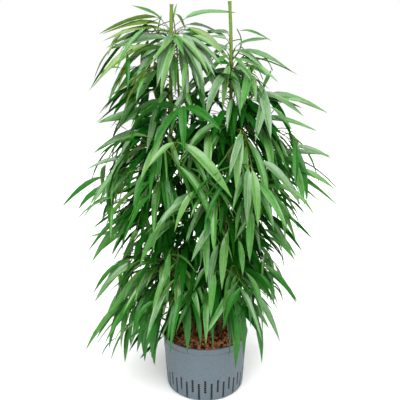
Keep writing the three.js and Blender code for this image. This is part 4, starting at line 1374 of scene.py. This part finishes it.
potBody = turnedMesh("potBody", potProfile(), potShape["sides"], potPlastic)
potMesh = grow(potBody, slotTree(), {
    "PerRow": slots["perRow"],
    "Dash": (slots["depth"] * mm, slots["width"] * mm, slots["dash"] * mm),
    "Pitch": slots["pitch"] * mm,
    "Radius": wallRadius(slots["upperBottom"]) * mm,
    "UpperHeight": (slots["upperBottom"] + slots["dash"] / 2) * mm,
    "UpperCount": slots["upperCount"],
    "LowerHeight": (slots["lowerBottom"] + slots["dash"] / 2) * mm,
    "LowerCount": slots["lowerCount"],
    "Plastic": potPlastic,
})
potMesh.shade_smooth()
potMesh.set_sharp_from_angle(angle=sharpAngle)
addPiece("pot_moulded", potMesh, ["pot"])
print("pot:", len(potMesh.polygons), "faces")


# Clay granules: a loose layer of lumps over the fill, laid by geometry nodes

granules = {"between": 6.4, "most": 60000, "radius": (2.9, 4.9), "ball": (8, 5), "dent": 0.5,
            "dentScale": 1.3, "turn": 6.28, "seed": 4, "depth": (-4.5, 1.0), "rimRoom": 6,
            "rimSides": 48, "dark": 0.3, "pale": 0.72}


def granuleTree():
    tree, given = newTree("layGranules", {
        "Between": "Float", "Smallest": "Vector", "Largest": "Vector", "Dent": "Float",
        "Seed": "Int", "Deepest": "Float", "Highest": "Float", "Red": "Material",
        "Dark": "Material", "Pale": "Material"})
    spots = addNode(tree, "GeometryNodeDistributePointsOnFaces",
                    {"Mesh": given["Geometry"], "Distance Min": given["Between"],
                     "Density Max": granules["most"], "Seed": given["Seed"]},
                    distribute_method="POISSON")
    height = addNode(tree, "FunctionNodeRandomValue",
                     {2: given["Deepest"], 3: given["Highest"], "Seed": given["Seed"]},
                     data_type="FLOAT")
    lift = addNode(tree, "ShaderNodeCombineXYZ", {"Z": height.outputs[1]})
    placed = addNode(tree, "GeometryNodeSetPosition", {"Geometry": spots, "Offset": lift})
    segments, rings = granules["ball"]
    ball = addNode(tree, "GeometryNodeMeshUVSphere",
                   {"Segments": segments, "Rings": rings, "Radius": 1.0})
    where = addNode(tree, "GeometryNodeInputPosition")
    dents = addNode(tree, "ShaderNodeTexNoise",
                    {"Vector": where, "Scale": granules["dentScale"], "Detail": 0})
    depth = addNode(tree, "ShaderNodeMath", {0: dents, 1: given["Dent"]}, operation="MULTIPLY")
    offset = addNode(tree, "ShaderNodeVectorMath", {0: where, "Scale": depth}, operation="SCALE")
    lump = addNode(tree, "GeometryNodeSetPosition", {"Geometry": ball, "Offset": offset})
    turn = addNode(tree, "FunctionNodeRandomValue",
                   {0: (0, 0, 0), 1: (granules["turn"],) * 3, "Seed": given["Seed"]},
                   data_type="FLOAT_VECTOR")
    size = addNode(tree, "FunctionNodeRandomValue",
                   {0: given["Smallest"], 1: given["Largest"], "Seed": given["Seed"]},
                   data_type="FLOAT_VECTOR")
    laid = addNode(tree, "GeometryNodeInstanceOnPoints",
                   {"Points": placed, "Instance": lump, "Rotation": turn, "Scale": size})
    tone = addNode(tree, "FunctionNodeRandomValue", {2: 0.0, 3: 1.0, "Seed": given["Seed"]},
                   data_type="FLOAT")
    toned = addNode(tree, "GeometryNodeStoreNamedAttribute",
                    {"Geometry": laid, "Name": "tone", "Value": tone.outputs[1]},
                    domain="INSTANCE", data_type="FLOAT")
    real = addNode(tree, "GeometryNodeRealizeInstances", {"Geometry": toned})
    smooth = addNode(tree, "GeometryNodeSetShadeSmooth", {"Geometry": real})
    painted = addNode(tree, "GeometryNodeSetMaterial",
                      {"Geometry": smooth, "Material": given["Red"]})
    kept = addNode(tree, "GeometryNodeInputNamedAttribute", {"Name": "tone"}, data_type="FLOAT")
    for label, operation, limit in (("Dark", "LESS_THAN", granules["dark"]),
                                    ("Pale", "GREATER_THAN", granules["pale"])):
        chosen = addNode(tree, "FunctionNodeCompare", {0: kept, 1: limit},
                         data_type="FLOAT", operation=operation)
        painted = addNode(tree, "GeometryNodeSetMaterial",
                          {"Geometry": painted, "Selection": chosen,
                           "Material": given[label]})
    addNode(tree, "NodeGroupOutput", {"Geometry": painted})
    return tree


bedRadius = wallRadius(fillTop) - potShape["wall"] - granules["rimRoom"]
bed = makeDisc("bed", bedRadius, fillTop, granules["rimSides"], clayRed)
granuleMesh = grow(bed, granuleTree(), {
    "Between": granules["between"] * mm,
    "Smallest": (granules["radius"][0] * mm,) * 3,
    "Largest": (granules["radius"][1] * mm,) * 3,
    "Dent": granules["dent"],
    "Seed": granules["seed"],
    "Deepest": granules["depth"][0] * mm,
    "Highest": granules["depth"][1] * mm,
    "Red": clayRed,
    "Dark": clayDark,
    "Pale": clayPale,
})
addPiece("clay_granules", granuleMesh)
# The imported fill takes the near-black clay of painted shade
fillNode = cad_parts["clay_fill"]
fillNode.data.materials.clear()
fillNode.data.materials.append(shadedClayBed)
print("granules:", len(granuleMesh.polygons), "faces")


# Floor, light and camera

studio = {"floorRadius": 6000, "floorSides": 64, "backdrop": 1.0, "sky": 0.13}
# Soft lamps: power, spread in degrees, and the place each shines from. The widest lies overhead
# like a big soft box, and gives the leaves their sheen.
lamps = {"key": (1.2, 50, (-0.8, -2.3, 2.5)), "box": (4.2, 76, (-0.2, -1.4, 2.8)),
         "fill": (0.4, 60, (2.4, -2.0, 2.2)), "rear": (0.9, 70, (0.7, 2.4, 2.2))}
view = {"place": (-0.0165, -1.7, 1.091), "pitch": 15.26, "lens": 51.4, "sensor": 36}

floorMaterial = makeMaterial("paperFloor", ("#fafaf9", "#fdfdfc"), 60, 0.9)
floorMesh = makeDisc("floor", studio["floorRadius"], 0, studio["floorSides"], floorMaterial)
floorPiece = addObject("floor", floorMesh)

# The sky lights softly, and the camera sees it as a white backdrop
world = bpy.data.worlds.new("studioSky")
scene.world = world
world.use_nodes = True
sky = world.node_tree
seen = addNode(sky, "ShaderNodeLightPath").outputs["Is Camera Ray"]
strength = addNode(sky, "ShaderNodeMapRange",
                   {"Value": seen, "To Min": studio["sky"], "To Max": studio["backdrop"]})
sky.nodes["Background"].inputs["Color"].default_value = (1, 1, 1, 1)
sky.links.new(strength.outputs[0], sky.nodes["Background"].inputs["Strength"])

for name, (power, spread, place) in lamps.items():
    lampData = bpy.data.lights.new(name, "SUN")
    lampData.energy = power
    lampData.angle = spread * degree
    lamp = addObject(name, lampData)
    lamp.location = place
    lamp.rotation_euler = Vector(place).to_track_quat("Z", "Y").to_euler()

cameraData = bpy.data.cameras.new("camera")
cameraData.lens = view["lens"]
cameraData.sensor_width = view["sensor"]
camera = addObject("camera", cameraData)
camera.location = view["place"]
camera.rotation_euler = ((90 - view["pitch"]) * degree, 0, 0)
scene.camera = camera
scene.view_settings.view_transform = "Standard"
